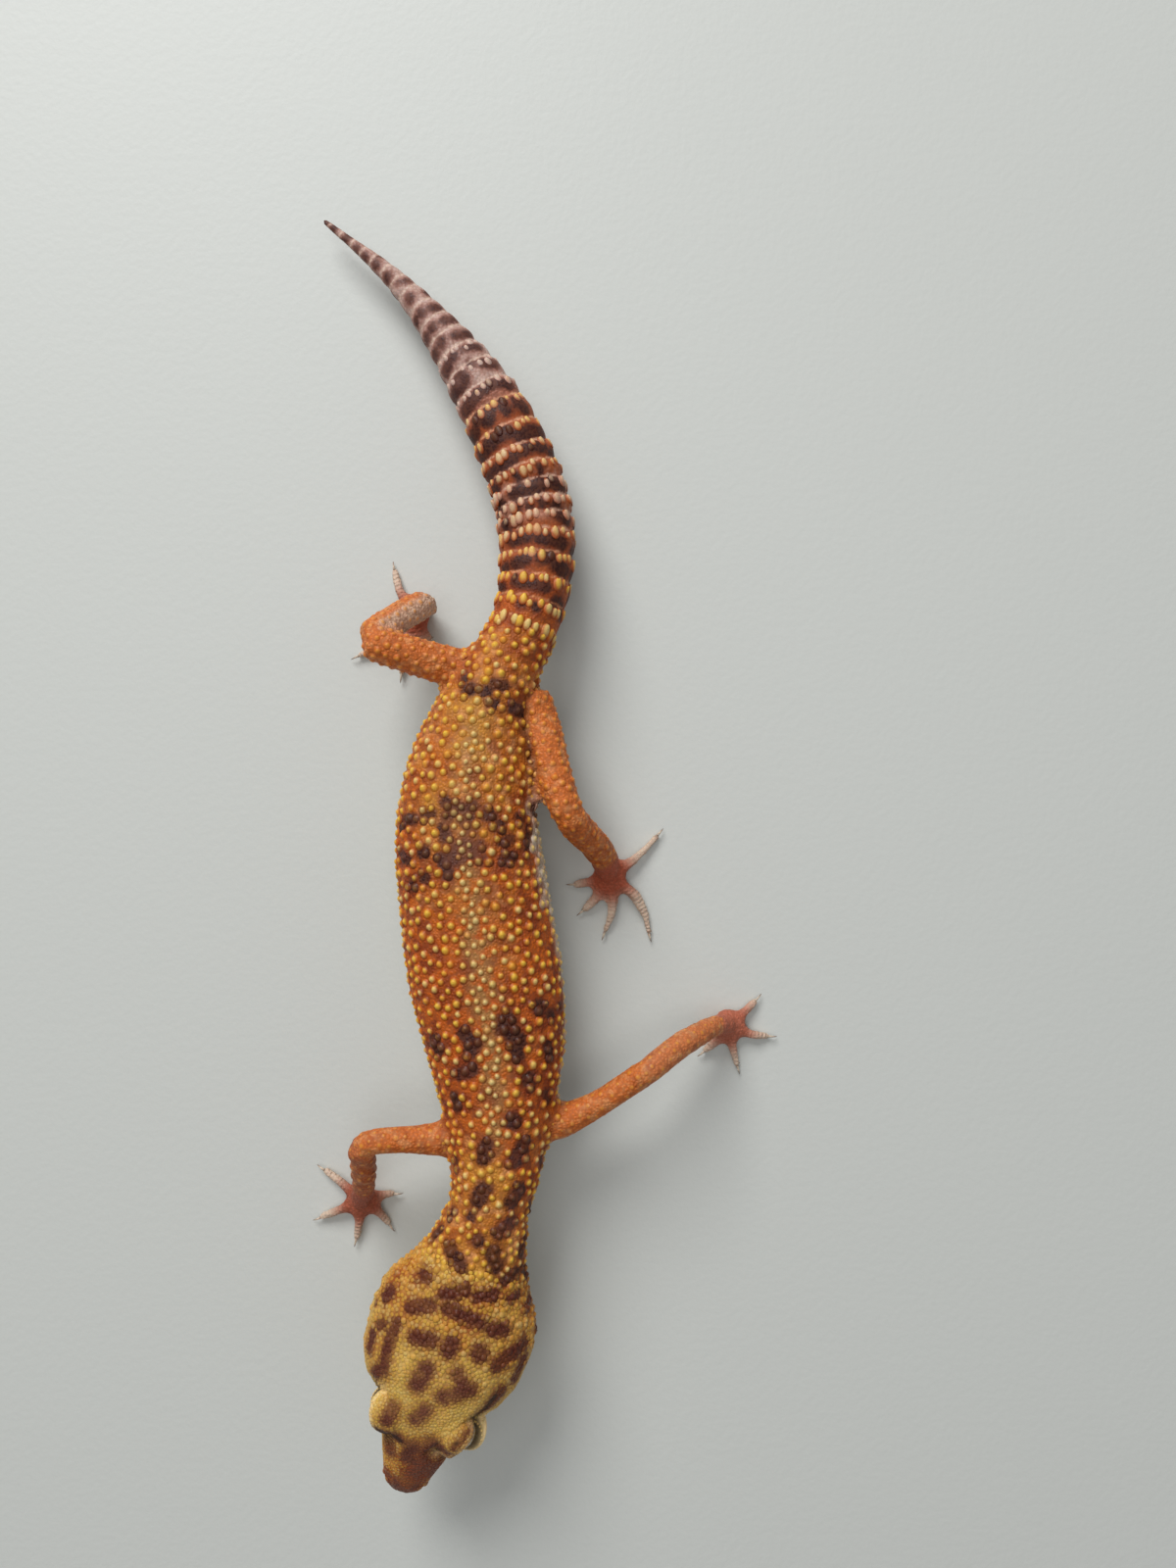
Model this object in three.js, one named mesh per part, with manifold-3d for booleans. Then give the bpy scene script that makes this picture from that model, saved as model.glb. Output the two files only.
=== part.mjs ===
// Leopard gecko, a still life-size model in a walking stance.
// Millimetres, +Z up. The head points towards -Y and the tail towards +Y, so the animal's left is +X.
// The origin is the middle of the model's box on the level that its four feet stand on.
// Landmarks are written in a plan frame of their own, and the finished group is centred at the end.
import * as THREE from "three";
import { mergeVertices } from "three/addons/utils/BufferGeometryUtils.js";
import Module from "manifold-3d";

const wasm = await Module();
wasm.setup();

const v = (x, y, z) => new THREE.Vector3(x, y, z);
const UP = v(0, 0, 1);

// ---- Driving dimensions ----

const CUT = 0.3; // width of the thin cuts that part one piece of the body from the next
const CLAW_GAP = 0.12; // between a toe and its claw
// Facets round each kind of piece.
const FACETS = {
  body: 20,
  limb: 10,
  palm: 10,
  toe: 6,
  claw: 5,
  orbit: 16,
  socket: 10,
  eye: 14,
  lids: 12,
  ear: 8,
};
const SLIVER = 0.04; // unevenness below this is smoothed out of a finished piece

// The line through the middle of the body, from the snout to the end of the tail.
const SPINE = [
  v(-27.5, -103.7, 11.6), // snout
  v(-23.5, -90.7, 13.6), // eyes
  v(-19.4, -77.7, 14.0), // corners of the jaw
  v(-16.2, -68.0, 14.4), // nape
  v(-13.9, -59.5, 14.0), // neck
  v(-12.9, -49.9, 13.0), // shoulders
  v(-13.6, -37.2, 12.4), // chest
  v(-15.9, -21.0, 12.0), // ribs
  v(-17.8, -3.5, 11.8), // loins
  v(-14.8, 13.0, 11.4), // hips
  v(-10.2, 21.5, 10.6), // vent
  v(-8.0, 29.1, 9.8), // root of the tail
  v(-7.9, 40.0, 8.8), // thickest part of the tail
  v(-11.7, 51.3, 7.8),
  v(-18.9, 63.9, 6.4),
  v(-29.2, 76.8, 4.8),
  v(-41.0, 87.0, 3.6), // end of the tail
];

// Distance from the snout, half width, rise above the line, depth below it, and fullness (1 is an ellipse).
const BODY = [
  [0, 2.7, 2.3, 2.4, 1.0],
  [2.5, 3.35, 3.0, 2.8, 1.04],
  [5, 4.15, 3.7, 3.2, 1.08],
  [9, 5.4, 4.9, 3.9, 1.1],
  [13.5, 7.3, 6.1, 4.6, 1.1],
  [17, 9.7, 6.9, 5.1, 1.08],
  [20, 11.5, 7.4, 5.6, 1.06],
  [24, 12.2, 7.5, 6.2, 1.04],
  [28, 12.4, 7.3, 6.5, 1.02],
  [31.5, 11.4, 6.9, 6.5, 1.0],
  [35, 9.0, 6.4, 6.2, 1.0],
  [40, 7.1, 5.9, 5.9, 1.0],
  [45.5, 6.1, 5.9, 5.9, 1.0],
  [51, 7.3, 6.4, 6.7, 1.0],
  [57, 8.2, 6.9, 7.5, 1.03],
  [69, 10.7, 7.7, 8.4, 1.06],
  [80, 11.8, 8.2, 8.8, 1.08],
  [94, 11.2, 8.1, 8.6, 1.08],
  [109, 9.5, 7.2, 7.7, 1.03],
  [117, 7.3, 6.4, 6.6, 1.0],
  [131, 5.4, 5.1, 5.2, 1.0],
  [145, 6.0, 5.1, 5.0, 1.0],
  [160, 5.75, 4.4, 4.1, 1.0],
  [168, 5.2, 4.0, 3.75, 1.0],
  [174, 4.5, 3.6, 3.35, 1.0],
  [181, 3.4, 2.9, 2.75, 1.0],
  [189, 2.3, 2.05, 2.0, 1.0],
  [198, 1.4, 1.3, 1.3, 1.0],
  [207, 0.75, 0.65, 0.65, 1.0],
];
const SNOUT_ROUND = 2.4; // length of the rounded end of the snout
const TAIL_ROUND = 1.0;
const BODY_STEP = 4.7; // spacing of the rings along the body

// Where the body is parted, as distances from the snout, and the name of each length.
const LENGTHS = [
  ["head", 37],
  ["neck", 50],
  ["chest", 84],
  ["belly", 113],
  ["hips", 130.5],
  ["tail_base", 151],
  ["tail_middle", 176],
  ["tail_end", Infinity],
];

// The head: distances from the snout, out to each side, and above the spine line.
const EYE = { from: 14.2, out: 5.0, rise: 2.9, radius: 2.8 };
const LOOK = { out: 0.86, ahead: 0.4, up: 0.32 }; // the way the gap between the lids faces
const ORBIT = { out: 3.6, along: 4.3, rise: 3.7 }; // half sizes of the bulge that carries the lids
const LID_OPENING = { along: 2.5, deep: 3.4, rise: 1.7, ahead: 2 }; // half sizes of the gap, and its start
const EAR = { from: 28.6, out: 11.8, rise: -0.6, along: 0.8, height: 1.7, depth: 1.5 };
const MOUTH = { rise: 0.1, drop: 1.1, corner: 22.5 }; // height at the snout, and the fall to the corner

// Limbs. path runs from the shoulder or hip to the wrist or ankle, and bend says which of its points is the
// elbow or knee. A digit is the way it points in degrees from +X, its reach, and its sideways bow.
const LIMBS = {
  right_fore: {
    kind: "arm",
    path: [
      v(-17.0, -51.6, 12.2),
      v(-22.6, -51.7, 13.4),
      v(-28.2, -51.6, 14.2),
      v(-32.4, -52.3, 14.2),
      v(-33.3, -56.4, 10.4),
      v(-34.3, -61.6, 4.8),
    ],
    bend: 3,
    palm: v(-35.4, -64.9, 0),
    heading: 250,
    digits: [[142, 7.7, 0.3], [204, 7.3, 0], [262, 6.6, -0.2], [317, 6.2, -0.6], [369, 5.4, -0.5]],
  },
  left_fore: {
    kind: "arm",
    path: [
      v(-8.0, -50.2, 12.0),
      v(-2.5, -48.7, 12.6),
      v(2.3, -46.1, 13.2),
      v(8.6, -41.8, 13.4),
      v(14.8, -38.3, 9.4),
      v(19.7, -36.9, 4.6),
    ],
    bend: 3,
    palm: v(22.2, -37.4, 0),
    heading: 320,
    digits: [[42, 5.6, 0.2], [-18, 6.6, 0.6], [-80, 7.1, 0.3], [-133, 6.2, -0.2], [-178, 4.6, -0.2]],
  },
  right_hind: {
    kind: "leg",
    path: [
      v(-16.4, 16.0, 10.8),
      v(-22.0, 17.7, 12.3),
      v(-27.2, 19.2, 14.0),
      v(-31.4, 20.8, 14.4),
      v(-28.7, 24.2, 10.6),
      v(-24.7, 27.5, 5.6),
    ],
    bend: 3,
    palm: v(-27.2, 26.4, 0),
    heading: 245,
    digits: [[113, 8.0, -0.6], [216, 11.0, -0.8], [258, 9.7, 0.3], [283, 6.8, 0.5], [306, 4.9, 0.4]],
  },
  left_hind: {
    kind: "leg",
    path: [
      v(-9.4, 14.0, 10.4),
      v(-6.7, 8.6, 11.4),
      v(-5.3, 2.4, 12.8),
      v(-2.8, -4.5, 14.2),
      v(0.1, -8.0, 10.2),
      v(2.5, -11.3, 4.8),
    ],
    bend: 3,
    palm: v(3.3, -14.3, 0),
    heading: 272,
    digits: [[40, 10.1, 0.6], [-56, 11.3, -1.7], [265, 9.2, -1.0], [233, 7.0, -0.5], [194, 5.8, -0.4]],
  },
};

// Share of the limb's length, and its radius there.
const GIRTH = {
  arm: [[0, 3.3], [0.15, 2.6], [0.32, 2.1], [0.55, 2.15], [0.75, 2.05], [0.9, 1.75], [1, 1.6]],
  leg: [[0, 3.6], [0.2, 3.1], [0.4, 2.85], [0.58, 2.55], [0.75, 2.5], [0.9, 2.2], [1, 1.9]],
};
const PALM = {
  arm: { half: 2.3, length: 2.8, height: 1.7 },
  leg: { half: 2.7, length: 3.4, height: 1.8 },
};
const PALM_LEVEL = 1.3; // height of a palm's middle, so that its sole is cut flat at the ground
const WRIST_LEVEL = 1.6; // height at which a limb's line ends in the palm
const TOE = { root: 0.95, middle: 0.78, tip: 0.62, arch: 1.5, fall: 0.9, level: 0.58 }; // radii, then heights
const CLAW = { length: 1.0, radius: 0.33, level: 0.58, drop: 0.3 };

// ---- Shape helpers ----

// A smooth function through rows of [place, value, ...], level past the ends, with no overshoot between rows.
function through(rows) {
  const slope = rows.map((row, i) =>
    row.map((value, k) => {
      if (k === 0 || i === 0 || i === rows.length - 1) return 0;
      const before = (value - rows[i - 1][k]) / (row[0] - rows[i - 1][0]);
      const after = (rows[i + 1][k] - value) / (rows[i + 1][0] - row[0]);
      return before * after <= 0 ? 0 : (2 * before * after) / (before + after);
    }),
  );
  return (place) => {
    const x = THREE.MathUtils.clamp(place, rows[0][0], rows[rows.length - 1][0]);
    const i = Math.max(0, Math.min(rows.length - 2, rows.findIndex((row) => row[0] > x) - 1));
    const j = rows[rows.length - 1][0] <= x ? rows.length - 2 : i;
    const span = rows[j + 1][0] - rows[j][0];
    const t = (x - rows[j][0]) / span;
    return rows[j].slice(1).map((value, n) => {
      const k = n + 1;
      const rise = rows[j + 1][k] - value;
      const cubic = t * t * (3 - 2 * t) * rise;
      const entry = t * (1 - t) * (1 - t) * span * slope[j][k];
      const exit = t * t * (1 - t) * span * slope[j + 1][k];
      return value + cubic + entry - exit;
    });
  };
}

// Places of the rings from 0 to length: even steps, and closer ones over the rounded ends.
function ringPlaces(length, step, startRound, endRound) {
  const places = [0];
  const roundRings = startRound > 2 ? 3 : 2;
  const shares = (i) => 1 - Math.cos((i / roundRings) * (Math.PI / 2));
  for (let i = 1; i <= roundRings; i++) places.push(startRound * shares(i));
  const middle = length - startRound - endRound;
  const count = Math.max(1, Math.round(middle / step));
  for (let i = 1; i <= count; i++) places.push(startRound + (middle * i) / count);
  for (let i = roundRings - 1; i >= 0; i--) places.push(length - endRound * shares(i));
  return places;
}

// Shrinks a section towards an end, as on an ellipsoid.
const rounded = (place, length, startRound, endRound) => {
  const start = Math.min(1, place / startRound);
  const end = Math.min(1, (length - place) / endRound);
  return Math.sqrt(Math.max(0, 1 - (1 - start) ** 2)) * Math.sqrt(Math.max(0, 1 - (1 - end) ** 2));
};

// A sphere drawn out along a curve. section(place) gives half width, rise, depth and fullness;
// side(tangent) gives the sideways axis.
function loft(curve, section, side, sides, step, startRound, endRound, grow = 0) {
  const length = curve.getLength();
  const places = ringPlaces(length, step, startRound, endRound);
  const shape = new THREE.SphereGeometry(1, sides, places.length - 1);
  const position = shape.getAttribute("position");
  const rowLength = sides + 1;
  for (let row = 0; row < places.length; row++) {
    const place = places[row];
    const share = THREE.MathUtils.clamp(place / length, 0, 1);
    const tangent = curve.getTangentAt(share);
    const across = side(tangent).normalize();
    const lift = new THREE.Vector3().crossVectors(across, tangent).normalize();
    const end = row === 0 ? -grow : row === places.length - 1 ? grow : 0;
    const centre = curve.getPointAt(share).addScaledVector(tangent, end);
    const scale = rounded(place, length, startRound, endRound);
    const isPole = row === 0 || row === places.length - 1;
    const extra = isPole ? 0 : grow;
    const [half, rise, depth, fullness = 1] = section(place);
    const grown = (size) => (isPole ? 0 : size * scale) + extra;
    const full = (wave) => Math.sign(wave) * Math.abs(wave) ** (1 / fullness);
    for (let column = 0; column < rowLength; column++) {
      const angle = ((column % sides) / sides) * 2 * Math.PI;
      const sine = full(Math.sin(angle));
      const point = centre.clone();
      point.addScaledVector(across, grown(half) * full(Math.cos(angle)));
      point.addScaledVector(lift, grown(sine > 0 ? rise : depth) * sine);
      position.setXYZ(row * rowLength + column, point.x, point.y, point.z);
    }
  }
  return shape;
}

// Closes a geometry's shared corners and makes it a solid for cutting and joining.
function solid(geometry) {
  const bare = geometry.clone();
  bare.deleteAttribute("normal");
  bare.deleteAttribute("uv");
  const merged = mergeVertices(bare, 1e-4);
  const corners = merged.index.array;
  const kept = [];
  for (let i = 0; i < corners.length; i += 3) {
    const [a, b, c] = corners.slice(i, i + 3);
    if (a !== b && b !== c && a !== c) kept.push(a, b, c);
  }
  const make = (triVerts) =>
    new wasm.Manifold(
      new wasm.Mesh({ numProp: 3, vertProperties: merged.getAttribute("position").array, triVerts }),
    );
  const made = make(new Uint32Array(kept));
  return made.volume() > 0 ? made : make(new Uint32Array(kept).reverse());
}

function geometryOf(part) {
  const mesh = part.simplify(SLIVER).getMesh();
  const geometry = new THREE.BufferGeometry();
  geometry.setAttribute("position", new THREE.BufferAttribute(new Float32Array(mesh.vertProperties), 3));
  geometry.setIndex(new THREE.BufferAttribute(new Uint32Array(mesh.triVerts), 1));
  geometry.computeVertexNormals();
  return geometry;
}

// Keeps what lies more than clearance past a plane, on the side that its normal points to.
const keepPast = (part, point, normal, clearance = 0) =>
  part.trimByPlane(normal.toArray(), point.dot(normal) + clearance);

const standOnGround = (part) => keepPast(part, v(0, 0, 0), UP);

// An ellipsoid with half sizes along three axes of its own.
function ellipsoid(centre, axes, halves, sides) {
  const shape = new THREE.SphereGeometry(1, sides, Math.round(sides * 0.6));
  const [x, y, z] = axes.map((axis, i) => axis.clone().multiplyScalar(halves[i]));
  return solid(shape.applyMatrix4(new THREE.Matrix4().makeBasis(x, y, z).setPosition(centre)));
}

// ---- Body ----

const spine = new THREE.CatmullRomCurve3(SPINE, false, "centripetal");
spine.arcLengthDivisions = 400;
const bodyLength = spine.getLength();
const bodySection = through(BODY);
const levelSide = (tangent) => new THREE.Vector3().crossVectors(tangent, UP);

// The body's own axes at a distance from the snout: along (towards the tail), out (to the left) and rise.
function bodyFrame(from) {
  const share = from / bodyLength;
  const along = spine.getTangentAt(share);
  const out = levelSide(along).normalize();
  const rise = new THREE.Vector3().crossVectors(out, along);
  return { centre: spine.getPointAt(share), along, out, rise };
}

function bodyPoint(from, out, rise) {
  const frame = bodyFrame(from);
  return frame.centre.addScaledVector(frame.out, out).addScaledVector(frame.rise, rise);
}

const body = (grow) =>
  solid(loft(spine, bodySection, levelSide, FACETS.body, BODY_STEP, SNOUT_ROUND, TAIL_ROUND, grow));

const SIDES = { right: -1, left: 1 };

const eyeball = (hand, radius, sides) => {
  const { along, out, rise } = bodyFrame(EYE.from);
  const centre = bodyPoint(EYE.from, hand * EYE.out, EYE.rise);
  return ellipsoid(centre, [along, out, rise], [radius, radius, radius], sides);
};

// The head with the bulges over the eyes, the sockets, the gaps between the lids, and the ear pits.
function shapeHead(head) {
  const { along, out, rise } = bodyFrame(EYE.from);
  const ear = bodyFrame(EAR.from);
  for (const hand of Object.values(SIDES)) {
    const eye = bodyPoint(EYE.from, hand * EYE.out, EYE.rise);
    head = head.add(ellipsoid(eye, [along, out, rise], [ORBIT.along, ORBIT.out, ORBIT.rise], FACETS.orbit));
    head = head.subtract(eyeball(hand, EYE.radius + CUT, FACETS.socket));
    const look = new THREE.Vector3()
      .addScaledVector(out, hand * LOOK.out)
      .addScaledVector(along, -LOOK.ahead)
      .addScaledVector(rise, LOOK.up)
      .normalize();
    const corner = along.clone().addScaledVector(look, -along.dot(look)).normalize();
    const lids = new THREE.Vector3().crossVectors(corner, look);
    const gap = eye.clone().addScaledVector(look, EYE.radius + LID_OPENING.ahead);
    const gapSize = [LID_OPENING.along, LID_OPENING.deep, LID_OPENING.rise];
    head = head.subtract(ellipsoid(gap, [corner, look, lids], gapSize, FACETS.lids));
    const pit = bodyPoint(EAR.from, hand * EAR.out, EAR.rise);
    const pitSize = [EAR.along, EAR.depth, EAR.height];
    head = head.subtract(ellipsoid(pit, [ear.along, ear.out, ear.rise], pitSize, FACETS.ear));
  }
  return head;
}

// Parts the lower jaw from the head along the line of the mouth.
function partJaw(head) {
  const front = bodyPoint(0, 0, MOUTH.rise);
  const corner = bodyPoint(MOUTH.corner, 0, MOUTH.rise - MOUTH.drop);
  const back = corner.clone().sub(front).normalize();
  const across = levelSide(back).normalize();
  const upwards = new THREE.Vector3().crossVectors(across, back);
  const size = 2 * BODY[BODY.length - 1][0];
  const below = (gap) => {
    const centre = corner.clone();
    centre.addScaledVector(upwards, -size / 2 - gap);
    centre.addScaledVector(back, -size / 2 - gap);
    const turned = new THREE.Matrix4().makeBasis(across, back, upwards).setPosition(centre);
    return solid(new THREE.BoxGeometry(size, size, size).applyMatrix4(turned));
  };
  return { head: head.subtract(below(-CUT / 2)), jaw: head.intersect(below(CUT / 2)) };
}

// The body as separate lengths, parted square to the spine.
function partBody() {
  const pieces = {};
  const whole = body(0);
  let start = null;
  for (const [name, end] of LENGTHS) {
    let piece = whole;
    if (start !== null) {
      const { centre, along } = bodyFrame(start);
      piece = keepPast(piece, centre, along, CUT / 2);
    }
    if (end < bodyLength) {
      const { centre, along } = bodyFrame(end);
      piece = keepPast(piece, centre, along.clone().negate(), CUT / 2);
    }
    pieces[name] = piece;
    start = end;
  }
  const { head, jaw } = partJaw(shapeHead(pieces.head));
  return { ...pieces, head, lower_jaw: jaw };
}

// ---- Limbs ----

const heading = (degrees) => {
  const angle = THREE.MathUtils.degToRad(degrees);
  return v(Math.cos(angle), Math.sin(angle), 0);
};

// The line of one toe, from the middle of the palm to its tip.
function toeLine(limb, [direction, reach, bow]) {
  const forward = heading(direction);
  const sideways = levelSide(forward);
  const at = (share, height) =>
    limb.palm
      .clone()
      .setZ(height)
      .addScaledVector(forward, reach * share)
      .addScaledVector(sideways, bow * Math.sin(share * Math.PI));
  return new THREE.CatmullRomCurve3([
    at(0.1, TOE.arch),
    at(0.4, TOE.arch),
    at(0.72, TOE.fall),
    at(1, TOE.level),
  ]);
}

function toe(line, grow) {
  const section = through([[0, TOE.root], [0.5, TOE.middle], [1, TOE.tip]]);
  const length = line.getLength();
  const round = (place) => {
    const radius = section(place / length)[0];
    return [radius, radius, radius];
  };
  return solid(loft(line, round, levelSide, FACETS.toe, 2.8, 0.7, 0.6, grow));
}

// A small hooked cone that carries on from the end of a toe.
function claw(line) {
  const forward = line.getTangentAt(1).setZ(0).normalize();
  const tip = line.getPointAt(1);
  const at = (reach, height) => v(tip.x, tip.y, height).addScaledVector(forward, reach);
  const hook = new THREE.CatmullRomCurve3([
    at(CLAW_GAP, CLAW.level + 0.1),
    at(CLAW_GAP + CLAW.length * 0.5, CLAW.level + 0.12),
    at(CLAW_GAP + CLAW.length, CLAW.level - CLAW.drop),
  ]);
  const length = hook.getLength();
  const taper = (place) => Array(3).fill(CLAW.radius * (1 - 0.75 * (place / length)));
  return solid(loft(hook, taper, levelSide, FACETS.claw, 0.6, 0.12, 0.08));
}

function limbLine(limb) {
  const end = limb.palm.clone().setZ(WRIST_LEVEL);
  return new THREE.CatmullRomCurve3([...limb.path, end], false, "centripetal");
}

// The hand or foot beyond the wrist or ankle, with its palm and toes.
function foot(limb, grow) {
  const size = PALM[limb.kind];
  const forward = heading(limb.heading);
  const halves = [size.length, size.half, size.height].map((half) => half + grow);
  const centre = limb.palm.clone().setZ(PALM_LEVEL);
  let made = ellipsoid(centre, [forward, levelSide(forward), UP.clone()], halves, FACETS.palm);
  for (const digit of limb.digits) made = made.add(toe(toeLine(limb, digit), grow));
  return made;
}

// One limb as an upper length, a lower length and the foot.
function partLimb(limb, trunk) {
  const line = limbLine(limb);
  const length = line.getLength();
  const girth = through(GIRTH[limb.kind]);
  const top = limb.path[0];
  const bend = limb.path[limb.bend];
  const low = limb.path[limb.path.length - 1];
  const plane = new THREE.Vector3()
    .crossVectors(bend.clone().sub(top), low.clone().sub(bend))
    .normalize();
  const round = (place) => Array(3).fill(girth(place / length)[0]);
  const whole = solid(loft(line, round, () => plane.clone(), FACETS.limb, 1.9, 2, 1.2));
  const nearest = (joint) => {
    let best = 0;
    for (let i = 0; i <= 200; i++) {
      const share = i / 200;
      if (line.getPointAt(share).distanceTo(joint) < line.getPointAt(best).distanceTo(joint)) best = share;
    }
    return { point: line.getPointAt(best), tangent: line.getTangentAt(best) };
  };
  const atBend = nearest(bend);
  const atLow = nearest(low);
  const half = CUT / 2;
  const away = (tangent) => tangent.clone().negate();
  const upper = keepPast(whole, atBend.point, away(atBend.tangent), half).subtract(trunk);
  const beyond = keepPast(whole, atBend.point, atBend.tangent, half);
  const shank = keepPast(beyond, atLow.point, away(atLow.tangent), half);
  const end = keepPast(whole, atLow.point, atLow.tangent, half).add(foot(limb, 0));
  return {
    upper: largest(upper),
    lower: largest(standOnGround(shank.subtract(foot(limb, CUT)))),
    foot: standOnGround(end),
  };
}

// The biggest of a solid's separate bodies: a cut can leave a sliver of the round end inside the trunk.
const largest = (part) => part.decompose().sort((a, b) => b.volume() - a.volume())[0];

// ---- Materials ----

const MATERIALS = {
  skin: new THREE.MeshStandardMaterial({ color: 0xc9772b, roughness: 0.62, metalness: 0 }),
  head: new THREE.MeshStandardMaterial({ color: 0xc49a45, roughness: 0.6, metalness: 0 }),
  tail: new THREE.MeshStandardMaterial({ color: 0x8d6450, roughness: 0.62, metalness: 0 }),
  limb: new THREE.MeshStandardMaterial({ color: 0xcf7f45, roughness: 0.6, metalness: 0 }),
  eye: new THREE.MeshStandardMaterial({ color: 0x8a5a1e, roughness: 0.08, metalness: 0 }),
  claw: new THREE.MeshStandardMaterial({ color: 0xcdb79b, roughness: 0.4, metalness: 0 }),
};
const BODY_MATERIALS = {
  head: "head",
  lower_jaw: "head",
  tail_base: "tail",
  tail_middle: "tail",
  tail_end: "tail",
};
const LIMB_WORDS = {
  arm: { upper: "upper_arm", lower: "forearm", foot: "hand" },
  leg: { upper: "thigh", lower: "shin", foot: "foot" },
};

// ---- Assembly ----

const gecko = new THREE.Group();

function place(name, part, material) {
  const mesh = new THREE.Mesh(geometryOf(part), MATERIALS[material]);
  mesh.name = name;
  gecko.add(mesh);
}

for (const [name, part] of Object.entries(partBody())) place(name, part, BODY_MATERIALS[name] ?? "skin");
for (const [name, hand] of Object.entries(SIDES)) {
  place(`eye_${name}`, eyeball(hand, EYE.radius, FACETS.eye), "eye");
}

const trunk = body(CUT);
for (const [name, limb] of Object.entries(LIMBS)) {
  const words = LIMB_WORDS[limb.kind];
  const hand = name.split("_")[0];
  const parts = partLimb(limb, trunk);
  for (const [part, shape] of Object.entries(parts)) place(`${hand}_${words[part]}`, shape, "limb");
  limb.digits.forEach((digit, i) => place(`claw_${name}_${i + 1}`, claw(toeLine(limb, digit)), "claw"));
}

// Centre the model's box on the origin, with the soles at zero.
const box = new THREE.Box3().setFromObject(gecko, true);
const middle = box.getCenter(new THREE.Vector3());
gecko.position.set(-middle.x, -middle.y, -box.min.z);

export default gecko;
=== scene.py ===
"""A still, life-size leopard gecko: one skin, its tubercles and plates, eyes, claws and a plain stage."""

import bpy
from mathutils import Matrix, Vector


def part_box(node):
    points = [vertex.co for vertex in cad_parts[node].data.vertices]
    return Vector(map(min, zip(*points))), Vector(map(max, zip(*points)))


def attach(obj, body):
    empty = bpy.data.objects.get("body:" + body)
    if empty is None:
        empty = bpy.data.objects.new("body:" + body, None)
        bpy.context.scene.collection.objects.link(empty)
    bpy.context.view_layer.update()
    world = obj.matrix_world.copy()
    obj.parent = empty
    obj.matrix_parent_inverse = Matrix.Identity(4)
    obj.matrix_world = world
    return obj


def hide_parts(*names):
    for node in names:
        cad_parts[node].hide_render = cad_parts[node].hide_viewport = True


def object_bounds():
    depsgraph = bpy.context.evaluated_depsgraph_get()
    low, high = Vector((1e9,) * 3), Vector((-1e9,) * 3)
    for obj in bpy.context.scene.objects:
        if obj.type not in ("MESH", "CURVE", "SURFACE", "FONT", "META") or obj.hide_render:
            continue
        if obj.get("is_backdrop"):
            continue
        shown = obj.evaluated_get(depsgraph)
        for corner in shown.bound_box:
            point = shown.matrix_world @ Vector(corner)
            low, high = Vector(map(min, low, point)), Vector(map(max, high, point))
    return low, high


bl_info = {
    "name": "Leopard gecko",
    "version": (1, 0, 0),
    "blender": (4, 5, 0),
    "location": "3D View > Sidebar > Gecko",
    "description": "Builds the skin, scales, eyes and claws of a walking leopard gecko round its frame",
    "category": "Object",
}

import math
from itertools import product

import bmesh
import bpy
import numpy as np
from bpy.props import FloatProperty, FloatVectorProperty, IntProperty, PointerProperty
from mathutils import Vector
from mathutils.bvhtree import BVHTree
from mathutils.kdtree import KDTree

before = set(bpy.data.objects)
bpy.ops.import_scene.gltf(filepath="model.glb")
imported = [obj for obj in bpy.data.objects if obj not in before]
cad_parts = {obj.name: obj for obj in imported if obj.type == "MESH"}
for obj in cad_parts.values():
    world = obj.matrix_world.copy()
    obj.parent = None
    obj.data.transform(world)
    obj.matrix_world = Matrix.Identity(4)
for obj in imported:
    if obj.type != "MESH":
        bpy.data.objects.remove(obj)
CAD_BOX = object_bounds()

# Lengths below are millimetres unless a name says otherwise, and meshes are scaled to metres when they are done.
MM = 0.001
UP = np.array((0.0, 0.0, 1.0))
PLAN_ORIGIN = np.array((6.75, 8.32, 0.0))  # where the body's plan starts in the frame
SIDES = {"right": -1, "left": 1}

# The line through the middle of the body, from the snout to the end of the tail.
SPINE_POINTS = [
    (-27.5, -103.7, 11.6),  # snout
    (-23.5, -90.7, 13.6),  # eyes
    (-19.4, -77.7, 14.0),  # corners of the jaw
    (-16.2, -68.0, 14.4),  # nape
    (-13.9, -59.5, 14.0),  # neck
    (-12.9, -49.9, 13.0),  # shoulders
    (-13.6, -37.2, 12.4),  # chest
    (-15.9, -21.0, 12.0),  # ribs
    (-17.8, -3.5, 11.8),  # loins
    (-14.8, 13.0, 11.4),  # hips
    (-10.2, 21.5, 10.6),  # vent
    (-8.0, 29.1, 9.8),  # root of the tail
    (-7.9, 40.0, 8.8),  # thickest part of the tail
    (-11.7, 51.3, 7.8),
    (-18.9, 63.9, 6.4),
    (-29.2, 76.8, 4.8),
    (-41.0, 87.0, 3.6),  # end of the tail
]

BODY_NODES = ("head", "lower_jaw", "neck", "chest", "belly", "hips", "tail_base", "tail_middle", "tail_end")
LIMB_NODES = {
    "right_fore": ("right_upper_arm", "right_forearm", "right_hand"),
    "left_fore": ("left_upper_arm", "left_forearm", "left_hand"),
    "right_hind": ("right_thigh", "right_shin", "right_foot"),
    "left_hind": ("left_thigh", "left_shin", "left_foot"),
}
FLESH_NODES = (*BODY_NODES, *(node for nodes in LIMB_NODES.values() for node in nodes))
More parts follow.
